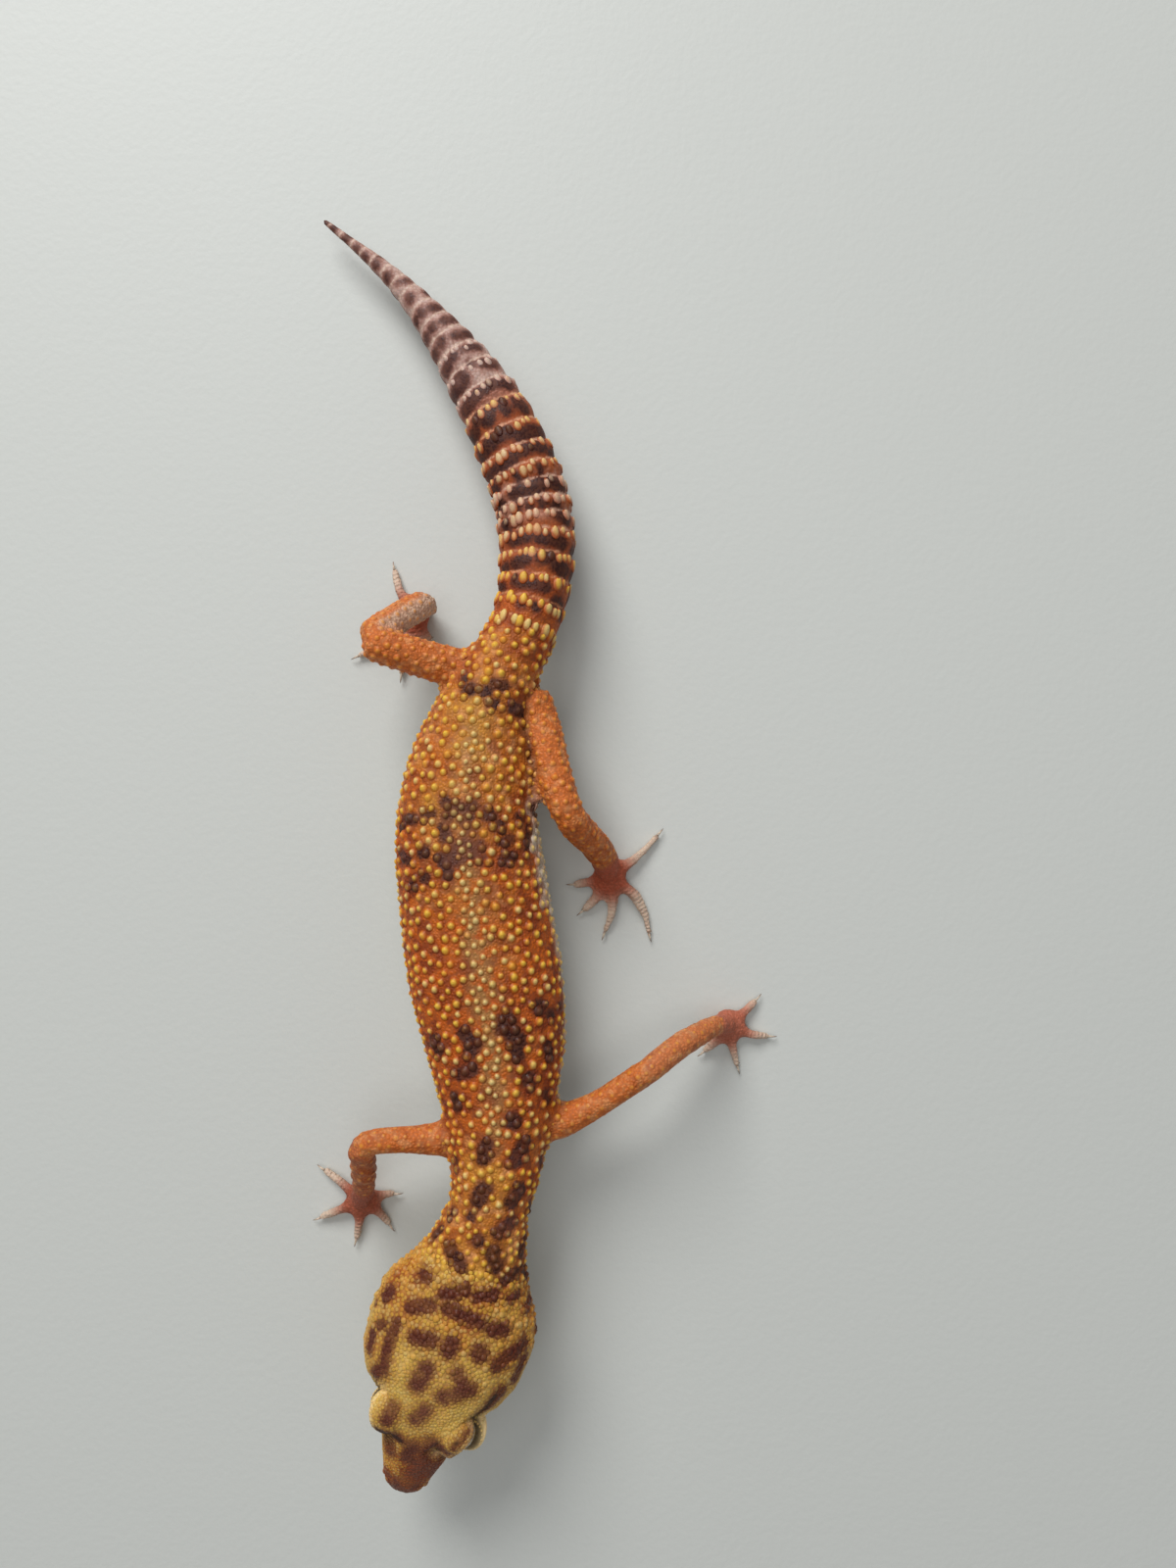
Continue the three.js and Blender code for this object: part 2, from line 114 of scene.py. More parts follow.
# Middle of each palm in the plan.
PALMS = {
    "right_fore": (-35.4, -64.9),
    "left_fore": (22.2, -37.4),
    "right_hind": (-27.2, 26.4),
    "left_hind": (3.3, -14.3),
}
PART_PLACES = (0.2, 0.55, 1.0)  # of a limb's three nodes along it, as shares of it
PARTINGS = (0.2, 0.2, 0.3, 0.8)  # depth of the crease between each limb and the body
BLOTCHES = (-0.3, -0.85, -0.9, -0.6)  # how far each limb's blotches are inside a dark mark
PALM_HEIGHT = 1.3
FOOT_REACH = 12.5  # from the middle of a palm to past the claws
FOOT_HEIGHT = 6.0  # the feet and ankles lie below this
BEHIND_PALM = 3.0  # counted on to the distance from a toe that points the other way
TOE_PAD = 0.62  # from one cross fold of a toe to the next
DIGITS = range(1, 6)

# Landmarks of the head: distance from the snout, out to each side, and above the spine line.
EYE_FROM = 14.2
# The head leans to its right, so the left eye is turned up more and its lids show more.
LOOK = {"out": 0.87, "ahead": 0.46, "turn": 0.1, "up": 0.3, "lean": 0.17}
# Share of the lids' full thickness, upper then lower, and how far the lower lid's rim runs up round the front.
LID_SIZES = {"right": (1.15, 0.35), "left": (1.2, 1.3)}
LID_WRAP = {"right": 0.25, "left": 0.6}
FAR_FROM_LIDS = 5.0  # stands for any distance behind the eye
# By distance outwards from the edge of the opening: how thick the lids are, as a share of their full thickness,
# and how deep the surface lies under the opening.
LID_RIM = [(0.0, 0.1), (0.12, 0.66), (0.34, 1.0), (0.75, 0.98), (1.3, 0.84), (2.0, 0.8)]
LID_OPENING = [(-1.2, -0.8), (-0.45, -0.65), (-0.12, -0.2), (0.0, 0.0)]
LID_ARCH = 0.16  # how much higher the middle of the opening is than its corners, as a share of the eye
CORNEA = 0.035  # how far it bulges, as a share of the eye
EYE_SIDES, EYE_RINGS = 56, 40
NOSTRIL = {"from": 2.4, "out": 2.75, "rise": 1.6}
EAR = {"from": 28.6, "rise": -0.6, "along": 0.9, "height": 1.8}
MOUTH = {"rise": 0.1, "drop": 1.1, "corner": 22.5}
HEAD_END = 31.5  # the finer part of the skin ends here
FACE_END = 20.5  # the face's granules end here and the crown's begin
# The hollow over the left hip, where the thigh parts from the root of the tail.
HIP_HOLLOW = {"from": 121.5, "out": 9.4, "rise": 2.5, "reach": 3.4, "inwards": 0.8, "down": 0.6}

# Hind edges of the rings of the tail, as distances from the snout, and how far back they bear tubercles.
TAIL_START = 129.0
TAIL_COAT_END = 177.0
RING_EDGES = np.array([
    TAIL_START, 131.6, 135.1, 138.6, 142.1, 145.5, 147.9, 150.2, 152.8, 155.4, 158.4, 162.0, 166.0, 169.5, 173.2,
    176.6, 179.7, 182.7, 185.8, 189.0, 191.5, 194.0, 196.6, 198.8, 200.9, 203.3, 205.6, 208.0,
])  # fmt: skip

# Dark marks: distance from the snout and out to the left of a mark's two ends, and its radius.
HEAD_MARKS = [
    (0.8, 0.3, 3.0, -0.1, 1.8), (3.2, 0.9, 8.2, 1.6, 1.75), (2.2, -2.1, 3.6, -2.7, 0.9), (6.0, 3.4, 11.6, 5.0, 1),
    (8.4, -3.2, 10.8, -3.8, 0.9), (9.0, 1.8, 12.6, 2.0, 1.1), (8.6, -0.6, 11.4, -0.1, 1.1),
    (11.6, 3.1, 12.2, 3.6, 0.8), (12.0, -5.2, 11.6, -2.2, 0.8), (14.2, -4.9, 15.8, -4.6, 0.9),
    (15.4, -1.2, 17.4, -0.2, 0.9), (15.4, 7.0, 18.2, 7.3, 0.5), (13.2, 5.2, 19.4, 8.3, 0.45),
    (20.4, -2.3, 22.8, -1.8, 1.15), (19.8, 1.7, 21.8, 4.9, 1.1), (23.6, 2.5, 22.0, 3.9, 0.9),
    (18.6, -8.5, 19.8, -8.1, 0.9), (20.4, -7.5, 23.0, -7.9, 0.9), (23.5, -7.9, 27.0, -7.8, 0.85),
    (21.5, -10.3, 23.5, -10.5, 0.8), (25.4, -10.0, 25.9, -9.6, 0.75), (26.6, -4.6, 27.0, -2.4, 1.05),
    (27.4, 0.5, 26.5, 0.4, 1.2), (27.4, 4.4, 27.0, 4.9, 1.1), (20.0, 8.5, 21.8, 9.2, 0.95),
    (26.0, 7.6, 28.8, 10.2, 1.1), (23.5, 10.7, 26.5, 11.0, 0.75), (29.8, 12.0, 30.2, 11.7, 0.6),
    (29.2, -10.4, 30.2, -9.9, 0.9), (30.0, -6.6, 31.4, -4.1, 0.9), (32.0, -1.7, 31.4, 3.5, 0.9),
    (31.0, 5.3, 31.0, 6.9, 1), (33.6, 9.1, 34.2, 9.5, 0.6),
]  # fmt: skip
NECK_MARKS = [
    (34.4, -6.4, 34.4, -5.6, 0.9), (35.0, 0.0, 33.4, -2.8, 0.9), (34.6, 1.9, 35.2, 4.0, 0.95),
    (34.8, 6.3, 35.4, 7.4, 0.6), (37.0, 4.8, 38.0, 6.2, 0.8), (39.0, -3.9, 37.5, -1.7, 0.95),
    (40.3, 2.1, 38.7, 3.1, 1.15), (41.4, -0.5, 41.3, -0.3, 0.9), (44.4, 3.4, 43.0, 2.2, 1.0),
    (44.0, -2.2, 44.2, -2.4, 0.7), (42.8, -5.2, 43.6, -5.0, 0.6), (39.0, -6.6, 40.2, -6.0, 0.7),
    (46.4, 5.6, 45.4, 5.7, 0.7), (42.0, 6.0, 40.2, 6.1, 0.7), (38.2, 7.0, 37.0, 7.8, 0.7),
    (48.2, -1.1, 46.5, -1.8, 1.15), (48.6, 3.9, 47.1, 3.1, 1.15), (50.6, -5.6, 51.4, -5.8, 0.6),
    (54.4, -1.4, 52.6, -1.8, 1.05), (54.6, 3.9, 52.6, 2.9, 1.2), (52.6, 6.4, 51.6, 6.4, 0.6),
]  # fmt: skip
TRUNK_MARKS = [
    (58.1, 2.3, 58.3, 2.6, 1.15), (61.6, -5.8, 60.2, -5.7, 0.9), (61.4, 7.0, 60.2, 7.3, 0.7),
    (63.9, 4.8, 63.5, 5.0, 1.15), (65.2, -4.9, 65.9, -3.0, 0.95), (67.2, 3.6, 69.0, 3.4, 1.0),
    (69.2, 4.0, 70.8, 2.8, 1.2), (72.4, 2.7, 71.4, 2.2, 1.35), (71.2, -3.7, 69.8, -2.1, 1.0),
    (68.6, -3.0, 68.4, -2.8, 1.0), (70.4, -8.1, 68.6, -7.8, 1.0), (68.0, 7.9, 66.4, 8.0, 0.9),
    (73.4, 7.3, 73.2, 7.5, 1.15), (72.0, 8.6, 71.8, 8.8, 0.85), (72.6, 10.1, 72.2, 10.2, 0.6),
    (93.2, -8.0, 92.9, -8.1, 0.85), (93.8, -5.9, 93.9, -6.1, 0.9), (96.2, -3.1, 94.0, -2.5, 1.0),
    (95.6, -1.2, 95.8, -0.6, 0.85), (97.8, 0.5, 96.5, 1.1, 1.15), (97.2, 2.3, 97.5, 2.2, 0.85),
    (95.2, 2.7, 95.3, 2.5, 0.6), (94.8, 5.6, 95.2, 6.6, 0.95), (97.6, 5.4, 97.9, 6.7, 0.65),
    (95.8, 8.7, 99.6, 9.1, 0.6), (96.4, -8.2, 97.2, -9.4, 0.85), (97.2, -5.9, 97.3, -5.7, 1.0),
    (100.2, -2.6, 98.8, -2.2, 0.95), (101.2, -8.6, 101.3, -7.1, 0.8), (101.8, -5.4, 102.0, -4.2, 0.7),
    (103.8, -2.4, 103.4, -2.2, 0.8), (103.2, 1.5, 101.0, 0.8, 0.95), (102.9, -0.2, 102.7, 0.2, 0.8),
    (99.6, 1.4, 100.4, 1.2, 0.7), (101.9, 3.7, 102.0, 4.0, 0.95), (100.2, 5.2, 100.3, 5.4, 0.9),
    (101.4, 8.0, 101.3, 8.2, 0.8), (103.6, 9.6, 101.0, 10.2, 0.5), (95.6, -1.9, 97.6, -1.2, 0.9),
    (101.6, -2.0, 103.0, -1.2, 0.9),
]  # fmt: skip
HIP_MARKS = [
    (119.2, -2.3, 119.4, -2.0, 1.0), (120.2, -3.4, 120.5, -3.6, 0.6), (119.6, 0.1, 119.8, 0.3, 0.85),
    (121.2, 0.9, 121.5, 2.2, 0.75), (118.3, 1.8, 118.4, 2.0, 0.8), (118.9, 4.5, 118.6, 6.0, 0.95),
]  # fmt: skip
TAIL_MARKS = [
    (133.7, -1.0, 133.7, -0.8, 0.6), (133.7, 1.2, 133.6, 1.3, 0.6), (135.2, 3.8, 134.4, 4.8, 1.05),
    (135.8, -4.8, 135.9, -4.4, 0.7), (136.9, -2.4, 136.8, 2.0, 0.78), (139.2, -4.5, 139.4, -4.2, 0.7),
    (139.7, -2.8, 140.5, -1.4, 0.8), (140.9, 0.9, 141.0, 1.8, 0.9), (140.3, 3.1, 139.7, 4.2, 1.0),
    (139.8, 5.4, 139.2, 5.8, 0.9), (143.6, -3.4, 144.0, -1.4, 0.85), (143.8, 0.5, 143.3, 3.7, 0.85),
    (142.8, 5.2, 142.2, 5.6, 0.75), (146.8, -4.6, 145.6, -4.1, 0.65), (147.7, 3.0, 146.8, 4.6, 1.0),
    (148.9, 3.4, 147.9, 3.5, 0.5), (150.4, -4.4, 149.9, -4.9, 0.9), (150.4, -2.3, 147.9, -2.4, 0.48),
    (150.2, -0.7, 148.1, -0.5, 0.42), (150.6, 1.0, 148.5, 1.3, 0.42), (151.2, -2.1, 151.5, 1.8, 1.05),
    (151.8, 3.4, 151.1, 4.8, 0.95), (153.2, -4.9, 153.4, -4.7, 0.8), (153.0, -1.0, 154.0, -1.2, 0.35),
    (153.2, 2.3, 154.2, 2.5, 0.35), (157.1, 0.7, 157.2, 1.7, 0.85), (157.2, 2.6, 156.9, 4.0, 0.85),
    (155.9, 4.9, 155.4, 5.4, 0.85), (156.6, -0.9, 156.4, -2.6, 0.9), (156.0, -3.6, 155.6, -4.9, 0.9),
    (159.6, 1.3, 159.4, 3.0, 0.85), (159.8, 3.2, 159.2, 4.7, 0.9), (160.6, -0.2, 160.2, -3.2, 1.0),
    (160.0, -3.6, 159.6, -4.8, 0.9), (163.2, -4.3, 162.6, -4.9, 0.85), (164.9, -0.9, 163.7, -1.8, 1.05),
    (164.9, -2.7, 164.4, -3.2, 0.8), (165.1, 1.1, 163.6, 1.4, 0.75), (164.4, 3.5, 163.2, 4.0, 0.9),
    (167.3, -3.9, 168.0, -1.0, 0.8), (168.0, -0.8, 168.2, 2.2, 0.68), (168.1, 2.4, 167.4, 3.7, 0.75),
    (171.5, -1.9, 171.0, -2.8, 1.15), (170.8, -3.8, 170.2, -4.4, 0.7), (171.9, 2.1, 171.3, 3.5, 0.75),
    (172.8, 0.4, 172.5, 0.8, 0.45),
]  # fmt: skip
TAIL_END_MARKS = [
    (175.3, -0.9, 175.1, -1.3, 0.8), (174.8, -2.4, 174.3, -3.3, 0.9), (175.3, 0.7, 174.7, 3.0, 0.75),
    (178.5, -1.1, 178.2, -1.5, 0.9), (178.0, -2.7, 177.6, -3.2, 0.85), (177.9, 1.0, 177.4, 3.0, 0.8),
    (181.3, -0.8, 181.1, -1.1, 0.85), (181.0, -2.3, 180.6, -2.7, 0.75), (180.9, 1.0, 180.7, 2.5, 0.75),
    (184.4, -0.6, 184.2, -0.9, 0.8), (184.3, -1.9, 183.9, -2.2, 0.65), (183.8, 0.8, 183.5, 1.8, 0.8),
    (187.5, -0.5, 187.3, -0.7, 0.8), (186.8, 1.8, 186.6, 2.2, 0.5), (190.6, -0.3, 190.6, -0.1, 0.45),
    (190.1, 0.7, 189.9, 1.2, 0.55), (192.7, -0.6, 192.5, -1.0, 0.75), (195.5, -0.4, 195.3, -0.6, 0.75),
    (196.0, 0.9, 195.9, 1.0, 0.4), (197.8, -0.5, 197.6, -0.7, 0.65), (199.7, -0.3, 199.5, -0.5, 0.65),
    (202.0, -0.2, 202.0, 0.2, 0.75), (204.7, -0.2, 204.7, 0.2, 0.65), (206.2, 0.0, 208.0, 0.0, 0.95),
]  # fmt: skip
FAINT_MARKS = [
    (61.9, -1.2, 61.6, -0.6, 1.2), (80.8, -2.2, 80.2, -1.8, 1.2), (107.8, 1.4, 107.6, 1.9, 1.2),
    (87.6, 4.6, 87.4, 5.0, 0.9), (77.0, -5.4, 76.4, -5.0, 1.1), (33.0, -7.4, 33.4, -6.8, 1.0),
    (112.4, 3.2, 112.0, 3.6, 0.9), (84.2, -7.0, 84.0, -6.4, 1.0),
]  # fmt: skip
# Dark streaks in front of the eyes and behind the left one, given as the marks are.
EYE_STREAKS = [
    (12.3, -5.9, 11.3, -2.2, 0.42), (11.0, 3.0, 14.2, 5.4, 0.26), (18.6, 7.6, 21.0, 8.6, 0.42),
]  # fmt: skip
# How orange the back and the sides are at distances from the snout, from 0 yellow to 1 orange.
WARMTH = [
    (0, 0.75, 0.7), (9, 0.45, 0.5), (14, 0.1, 0.15), (22, 0.1, 0.2), (28, 0.3, 0.4), (38, 0.42, 0.6),
    (46, 0.45, 0.75), (56, 0.8, 1.05), (66, 0.95, 1.2), (82, 0.9, 1.15), (90, 0.8, 1.05), (98, 0.65, 0.85),
    (106, 0.55, 0.75), (118, 0.48, 0.65), (126, 0.7, 0.85), (134, 0.95, 1.0), (150, 0.9, 0.9), (208, 0.8, 0.8),
]  # fmt: skip
# How brown the ground of the tail is.
BROWNNESS = [(130, 0), (135, 0.45), (142, 0.85), (164, 0.9), (170, 0)]
# How grey the ground of the tail is, and how white its edges and tubercles are.
GREYNESS = [(164, 0), (169, 0.75), (174, 0.95), (208, 1)]
WHITENESS = [
    (136, 0), (142, 0.25), (145, 0.4), (147, 0.7), (153, 0.75), (155, 0.35), (158.4, 0.55), (161, 0.3), (167, 0.3),
    (169, 1), (208, 1),
]  # fmt: skip

# Radius of the tail; its tubercles' spacing, the share of a ring they take, how far down the sides they reach
# and how far before the ring's edge they stand; and how large they are.
TAIL_GIRTH = [(130, 5.6), (145, 5.9), (160, 5.3), (174, 4.2), (189, 2.2), (207, 0.7)]
TAIL_COAT = {"gap": 1.5, "round": 0.72, "aside": 0.7, "before_edge": 0.75}
TAIL_COAT_SIZE = [(130, 1.0), (160, 0.9), (174, 0.6), (190, 0.4)]
# How far down the sides, as an angle from the top, the pale belly begins.
BELLY_EDGE = [(0, 1.75), (24, 1.95), (34, 1.75), (60, 1.5), (110, 1.55), (126, 1.9), (140, 2.2), (208, 2.3)]

MARK_REACH = 3.0  # distances to a mark's edge are kept up to this far from it
ABOVE_BACK = 20.0  # marks are laid down from this far over the spine line
# The dark marks of each part, and how far their soft edges spread.
MARK_SPREAD = [
    (HEAD_MARKS, 0.16),
    (NECK_MARKS, 0.12),
    (TRUNK_MARKS, 0.08),
    (HIP_MARKS, 0.15),
    (TAIL_MARKS, 0.28),
    (TAIL_END_MARKS, 0.0),
]
SAMPLE_SEED = 11
SAMPLES = 1.6  # on each square millimetre of flesh, to tell the nearest node by
MASK_BLUR = 9  # rounds of softening for the edges of the regions
FIRST_SMOOTHING, FINE_SMOOTHING, FINEST_SMOOTHING = 7, 3, 2  # rounds after each stage of the skin's mesh

# Where the scattered scales grow, from the snout backwards and round from the top, and how many places are tried.
TRUNK_COAT = {"from": 32, "to": 130, "aside": 0.66, "tries": 30000}
HEAD_COAT = {"to": 37, "aside": 0.8, "tries": 34000}
LIMB_TRIES = 14000

# Rows of plates along the lips: height above the mouth, from one plate to the next, and a plate's length.
LIP_ROWS = [(0.55, 1.0, 0.5), (-0.55, 1.0, 0.5), (1.25, 0.82, 0.36), (-1.2, 0.82, 0.36)]
LIP_TURN = {"from": 2.2, "angle": 1.25}  # ahead of here the rows turn round the snout
SHORT_PLATE = 0.4  # plates shorter than this are narrower too
FRINGE_SCALES = 34  # round each eye
BAKE_PATCH = 0.0015  # half the width of a scale's patch on the bake's map


# ---- Settings ----


def length_setting(name, description, metres):
    return FloatProperty(name=name, description=description, default=metres, unit="LENGTH", precision=5)


def colour_setting(name, description, red, green, blue):
    linear = [channel_of(value) for value in (red, green, blue)]
    return FloatVectorProperty(
        name=name, description=description, default=linear, size=3, min=0.0, max=1.0, subtype="COLOR"
    )


def channel_of(value):
    """Linear value of a display channel from 0 to 255."""
    share = value / 255
    return share / 12.92 if share <= 0.04045 else ((share + 0.055) / 1.055) ** 2.4


class GeckoSkinSettings(bpy.types.PropertyGroup):
    voxel: length_setting("Grain", "Size of the cells that the skin is first drawn with", 0.00049)
    overlap: length_setting("Overlap", "How far the flesh pieces grow to close their cuts", 0.00035)
    depth_trunk: length_setting("Trunk depth", "How far the skin lies inside the tips of the trunk's coat", 0.0004)
    depth_tail: length_setting("Tail depth", "The same on the tail", 0.00034)
    depth_head: length_setting("Head depth", "The same on the head", 0.00016)
    depth_limb: length_setting("Limb depth", "The same on arms and legs", 0.0002)
    depth_foot: length_setting("Foot depth", "The same on hands and feet", 0.00006)
    ring_height: length_setting("Tail rings", "Height of the rings of the tail", 0.00042)
    fold_height: length_setting("Folds", "Height of the folds of the neck and flanks", 0.00016)


class GeckoCoatSettings(bpy.types.PropertyGroup):
    tubercle_gap: length_setting("Gap", "Distance between the trunk's tubercles", 0.00136)
    tubercle_radius: length_setting("Radius", "Radius of a trunk tubercle", 0.00054)
    tubercle_height: length_setting("Height", "Height of a trunk tubercle", 0.00042)
    limb_gap: length_setting("Limb gap", "Distance between the limbs' tubercles", 0.00125)
    granule_gap: length_setting("Granule gap", "Distance between the head's granules", 0.0004)
    seed: IntProperty(name="Seed", description="Start of the random draws", default=7, min=0)


class GeckoColourSettings(bpy.types.PropertyGroup):
    yellow: colour_setting("Yellow", "Ground of the head and rump", 204, 150, 54)
    orange: colour_setting("Orange", "Ground of the trunk and the root of the tail", 188, 88, 14)
    rust: colour_setting("Rust", "Deepest orange, between the tubercles", 126, 46, 8)
    tan: colour_setting("Tan", "Line along the middle of the back", 172, 124, 66)
    limb: colour_setting("Limb", "Arms and legs", 204, 108, 42)
    flesh: colour_setting("Flesh", "Hands, feet and bare folds", 182, 90, 62)
    pale: colour_setting("Pale", "Belly, throat and flanks", 214, 196, 174)
    grey: colour_setting("Grey", "Rings towards the end of the tail", 194, 163, 152)
    straw: colour_setting("Straw", "Palest ground of the head", 214, 178, 98)
    umber: colour_setting("Umber", "Dark marks of the head", 84, 32, 18)
    dark: colour_setting("Dark", "Dark marks", 56, 18, 9)
    taupe: colour_setting("Taupe", "Soft marks of the crown and snout", 116, 68, 50)
    mauve: colour_setting("Mauve", "Dark marks of the back and tail end", 76, 42, 37)
    tip_yellow: colour_setting("Yellow tips", "Tips of the tubercles", 232, 186, 62)
    tip_cream: colour_setting("Cream tips", "Tips of the palest tubercles", 228, 202, 132)
    tip_white: colour_setting("White tips", "Tubercles and edges of the pale rings of the tail", 212, 184, 166)
    tail_brown: colour_setting("Tail brown", "Ground of the dark rings of the tail", 166, 84, 42)
    lid: colour_setting("Lids", "Rims of the lids", 248, 216, 158)
    blush: colour_setting("Blush", "Pinkish patches of the rump and legs", 220, 152, 96)
    rim_tan: colour_setting("Tan edges", "Edges of the other rings of the tail", 222, 148, 98)
    tip_orange: colour_setting("Orange tips", "Tips of the limbs' tubercles", 224, 138, 48)
    horn: colour_setting("Horn", "Claws", 126, 98, 78)


class GeckoEyeSettings(bpy.types.PropertyGroup):
    opening_length: length_setting("Opening length", "Half length of the gap between the lids", 0.0026)
    opening_height: length_setting("Opening height", "Half height of the gap between the lids", 0.00102)
    upper_lid: length_setting("Upper lid", "Thickness of the upper lid's rim", 0.0006)
    lower_lid: length_setting("Lower lid", "Thickness of the lower lid's rim", 0.0011)
    iris: colour_setting("Iris", "Ground of the iris", 150, 118, 70)
    veins: colour_setting("Veins", "Veins of the iris", 74, 46, 22)


class GeckoStageSettings(bpy.types.PropertyGroup):
    camera_height: length_setting("Camera height", "Height of the camera above the floor", 0.185)
    focal: FloatProperty(name="Focal length", description="Lens in millimetres", default=27.05)
    floor: colour_setting("Floor", "Floor under the animal", 203, 205, 200)
    key_power: FloatProperty(name="Key", description="Power of the broad light", default=8.3, unit="POWER")
    fill: FloatProperty(name="Fill", description="Strength of the light from all round", default=0.26)


# ---- Meshes and arrays ----


def read(items, name, width, kind=np.float32):
    flat = np.empty(len(items) * width, dtype=kind)
    items.foreach_get(name, flat)
    return flat.reshape(-1, width) if width > 1 else flat


def coordinates(mesh):
    return read(mesh.vertices, "co", 3).astype(float)


def set_coordinates(mesh, points):
    mesh.vertices.foreach_set("co", points.astype(np.float32).ravel())
    mesh.update()


def vertex_normals(mesh):
    return read(mesh.vertex_normals, "vector", 3).astype(float)


def edge_ends(mesh):
    return read(mesh.edges, "vertices", 2, np.int32)


def unit(vectors):
    size = np.linalg.norm(vectors, axis=-1, keepdims=True)
    return vectors / np.maximum(size, 1e-12)


def bell(value, middle, width):
    return np.exp(-(((value - middle) / width) ** 2))


def ease(value, low, high):
    """0 below low, 1 above high, smooth between."""
    share = np.clip((value - low) / (high - low), 0, 1)
    return share * share * (3 - 2 * share)


def neighbour_sum(values, edges):
    total = np.zeros_like(values)
    for column in range(values.shape[1]):
        for near, far in ((0, 1), (1, 0)):
            weights = values[edges[:, far], column]
            total[:, column] += np.bincount(edges[:, near], weights=weights, minlength=len(values))
    return total


def relax(points, edges, rounds, share=None):
    """Evens out a surface without shrinking it."""
    count = np.bincount(edges.ravel(), minlength=len(points))[:, None]
    for _ in range(rounds):
        for step in (0.5, -0.52):
            moved = (neighbour_sum(points, edges) / count - points) * step
            points = points + (moved if share is None else moved * share[:, None])
    return points


def soften(values, edges, rounds):
    """Spreads the edges of masks over a mesh."""
    count = np.bincount(edges.ravel(), minlength=len(values))[:, None]
    for _ in range(rounds):
        values = 0.4 * values + 0.6 * neighbour_sum(values, edges) / count
    return values


def waves(points, scale, seed):
    """Smooth random values from -1 to 1 that change over about scale millimetres."""
    draw = np.random.default_rng(seed)
    total = np.zeros(len(points))
    count = 9
    for _ in range(count):
        direction = draw.normal(size=3)
        direction /= np.linalg.norm(direction)
        turn = 2 * math.pi / (scale * draw.uniform(0.7, 1.6))
        total += np.sin(points @ direction * turn + draw.uniform(0, 2 * math.pi))
    return total / math.sqrt(count)


def add_object(name, mesh):
    made = bpy.data.objects.new(name, mesh)
    bpy.context.scene.collection.objects.link(made)
    return made


def finish_piece(name, mesh, material, slot, *nodes):
    """Makes an object of a mesh in metres, and says what it rides on and stands for."""
    mesh.shade_smooth()
    mesh.materials.append(material)
    made = add_object(name, mesh)
    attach(made, "root")
    if nodes:
        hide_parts(*nodes)


def write_attribute(mesh, name, values):
    layer = mesh.attributes.new(name, "FLOAT", "POINT")
    layer.data.foreach_set("value", np.asarray(values, dtype=np.float32))


def read_attribute(mesh, name):
    return read(mesh.attributes[name].data, "value", 1).astype(float)


# ---- The body's own coordinates ----


def smooth_line(points, steps):
    """Points along a curve through the given ones, spaced as on a centripetal spline."""
    padded = np.vstack([2 * points[0] - points[1], points, 2 * points[-1] - points[-2]])
    made = []
    for start in range(len(points) - 1):
        p = padded[start : start + 4]
        gaps = np.linalg.norm(np.diff(p, axis=0), axis=1) ** 0.5
        t = np.concatenate([[0], np.cumsum(gaps)])
        at = np.linspace(t[1], t[2], steps, endpoint=False)[:, None]

        def between(first, last, a, b):
            return ((t[last] - at) * a + (at - t[first]) * b) / (t[last] - t[first])

        first = [between(k, k + 1, p[k], p[k + 1]) for k in range(3)]
        second = [between(k, k + 2, first[k], first[k + 1]) for k in range(2)]
        made.append(between(1, 2, second[0], second[1]))
    return np.vstack([*made, points[-1:]])


class Spine:
    """The line of the body, with places on it given by distance from the snout."""

    def __init__(self, points, steps=30):
        self.line = smooth_line(np.array(points) + PLAN_ORIGIN, steps)
        gaps = np.linalg.norm(np.diff(self.line, axis=0), axis=1)
        self.places = np.concatenate([[0], np.cumsum(gaps)])
        self.length = self.places[-1]
        self.tangents = unit(np.gradient(self.line, self.places, axis=0))

    def axes(self, place):
        """Centre, and the directions towards the tail, the left and the back, at each place."""
        def sample(rows):
            return np.stack([np.interp(place, self.places, rows[:, k]) for k in range(3)], axis=-1)

        along = unit(sample(self.tangents))
        out = unit(np.cross(along, UP))
        past = np.asarray(place) - np.clip(place, 0, self.length)
        return sample(self.line) + along * past[..., None], along, out, np.cross(out, along)

    def point(self, place, out, rise):
        centre, _, sideways, upwards = self.axes(np.asarray(place, dtype=float))
        return centre + sideways * np.asarray(out)[..., None] + upwards * np.asarray(rise)[..., None]

    def locate(self, points):
        """Distance from the snout, out to the left and above the line, of each point."""
        nearest = np.empty(len(points), dtype=int)
        size = 20000
        for start in range(0, len(points), size):
            part = points[start : start + size]
            apart = (self.line**2).sum(1)[None] - 2 * part @ self.line.T
            nearest[start : start + size] = apart.argmin(1)
        offset = points - self.line[nearest]
        place = self.places[nearest] + (offset * self.tangents[nearest]).sum(1)
        centre, _, out, rise = self.axes(place)
        offset = points - centre
        return place, (offset * out).sum(1), (offset * rise).sum(1)


SPINE = Spine(SPINE_POINTS)


def profile(rows, place, column=1):
    rows = np.array(rows, dtype=float)
    return np.interp(place, rows[:, 0], rows[:, column])


def palm_middle(limb):
    return np.array((*PALMS[limb], PALM_HEIGHT)) + PLAN_ORIGIN


def nostril(side):
    return SPINE.point(NOSTRIL["from"], side * NOSTRIL["out"], NOSTRIL["rise"])


def distance(points, middle):
    return np.linalg.norm(points - middle, axis=1)


def ring_phase(place):
    """Number and length of the tail ring at each place, and how far through it the place is, from 0 to 1."""
    number = np.clip(np.searchsorted(RING_EDGES, place) - 1, 0, len(RING_EDGES) - 2)
    start = RING_EDGES[number]
    length = RING_EDGES[number + 1] - start
    return number, length, np.clip((place - start) / length, 0, 1)


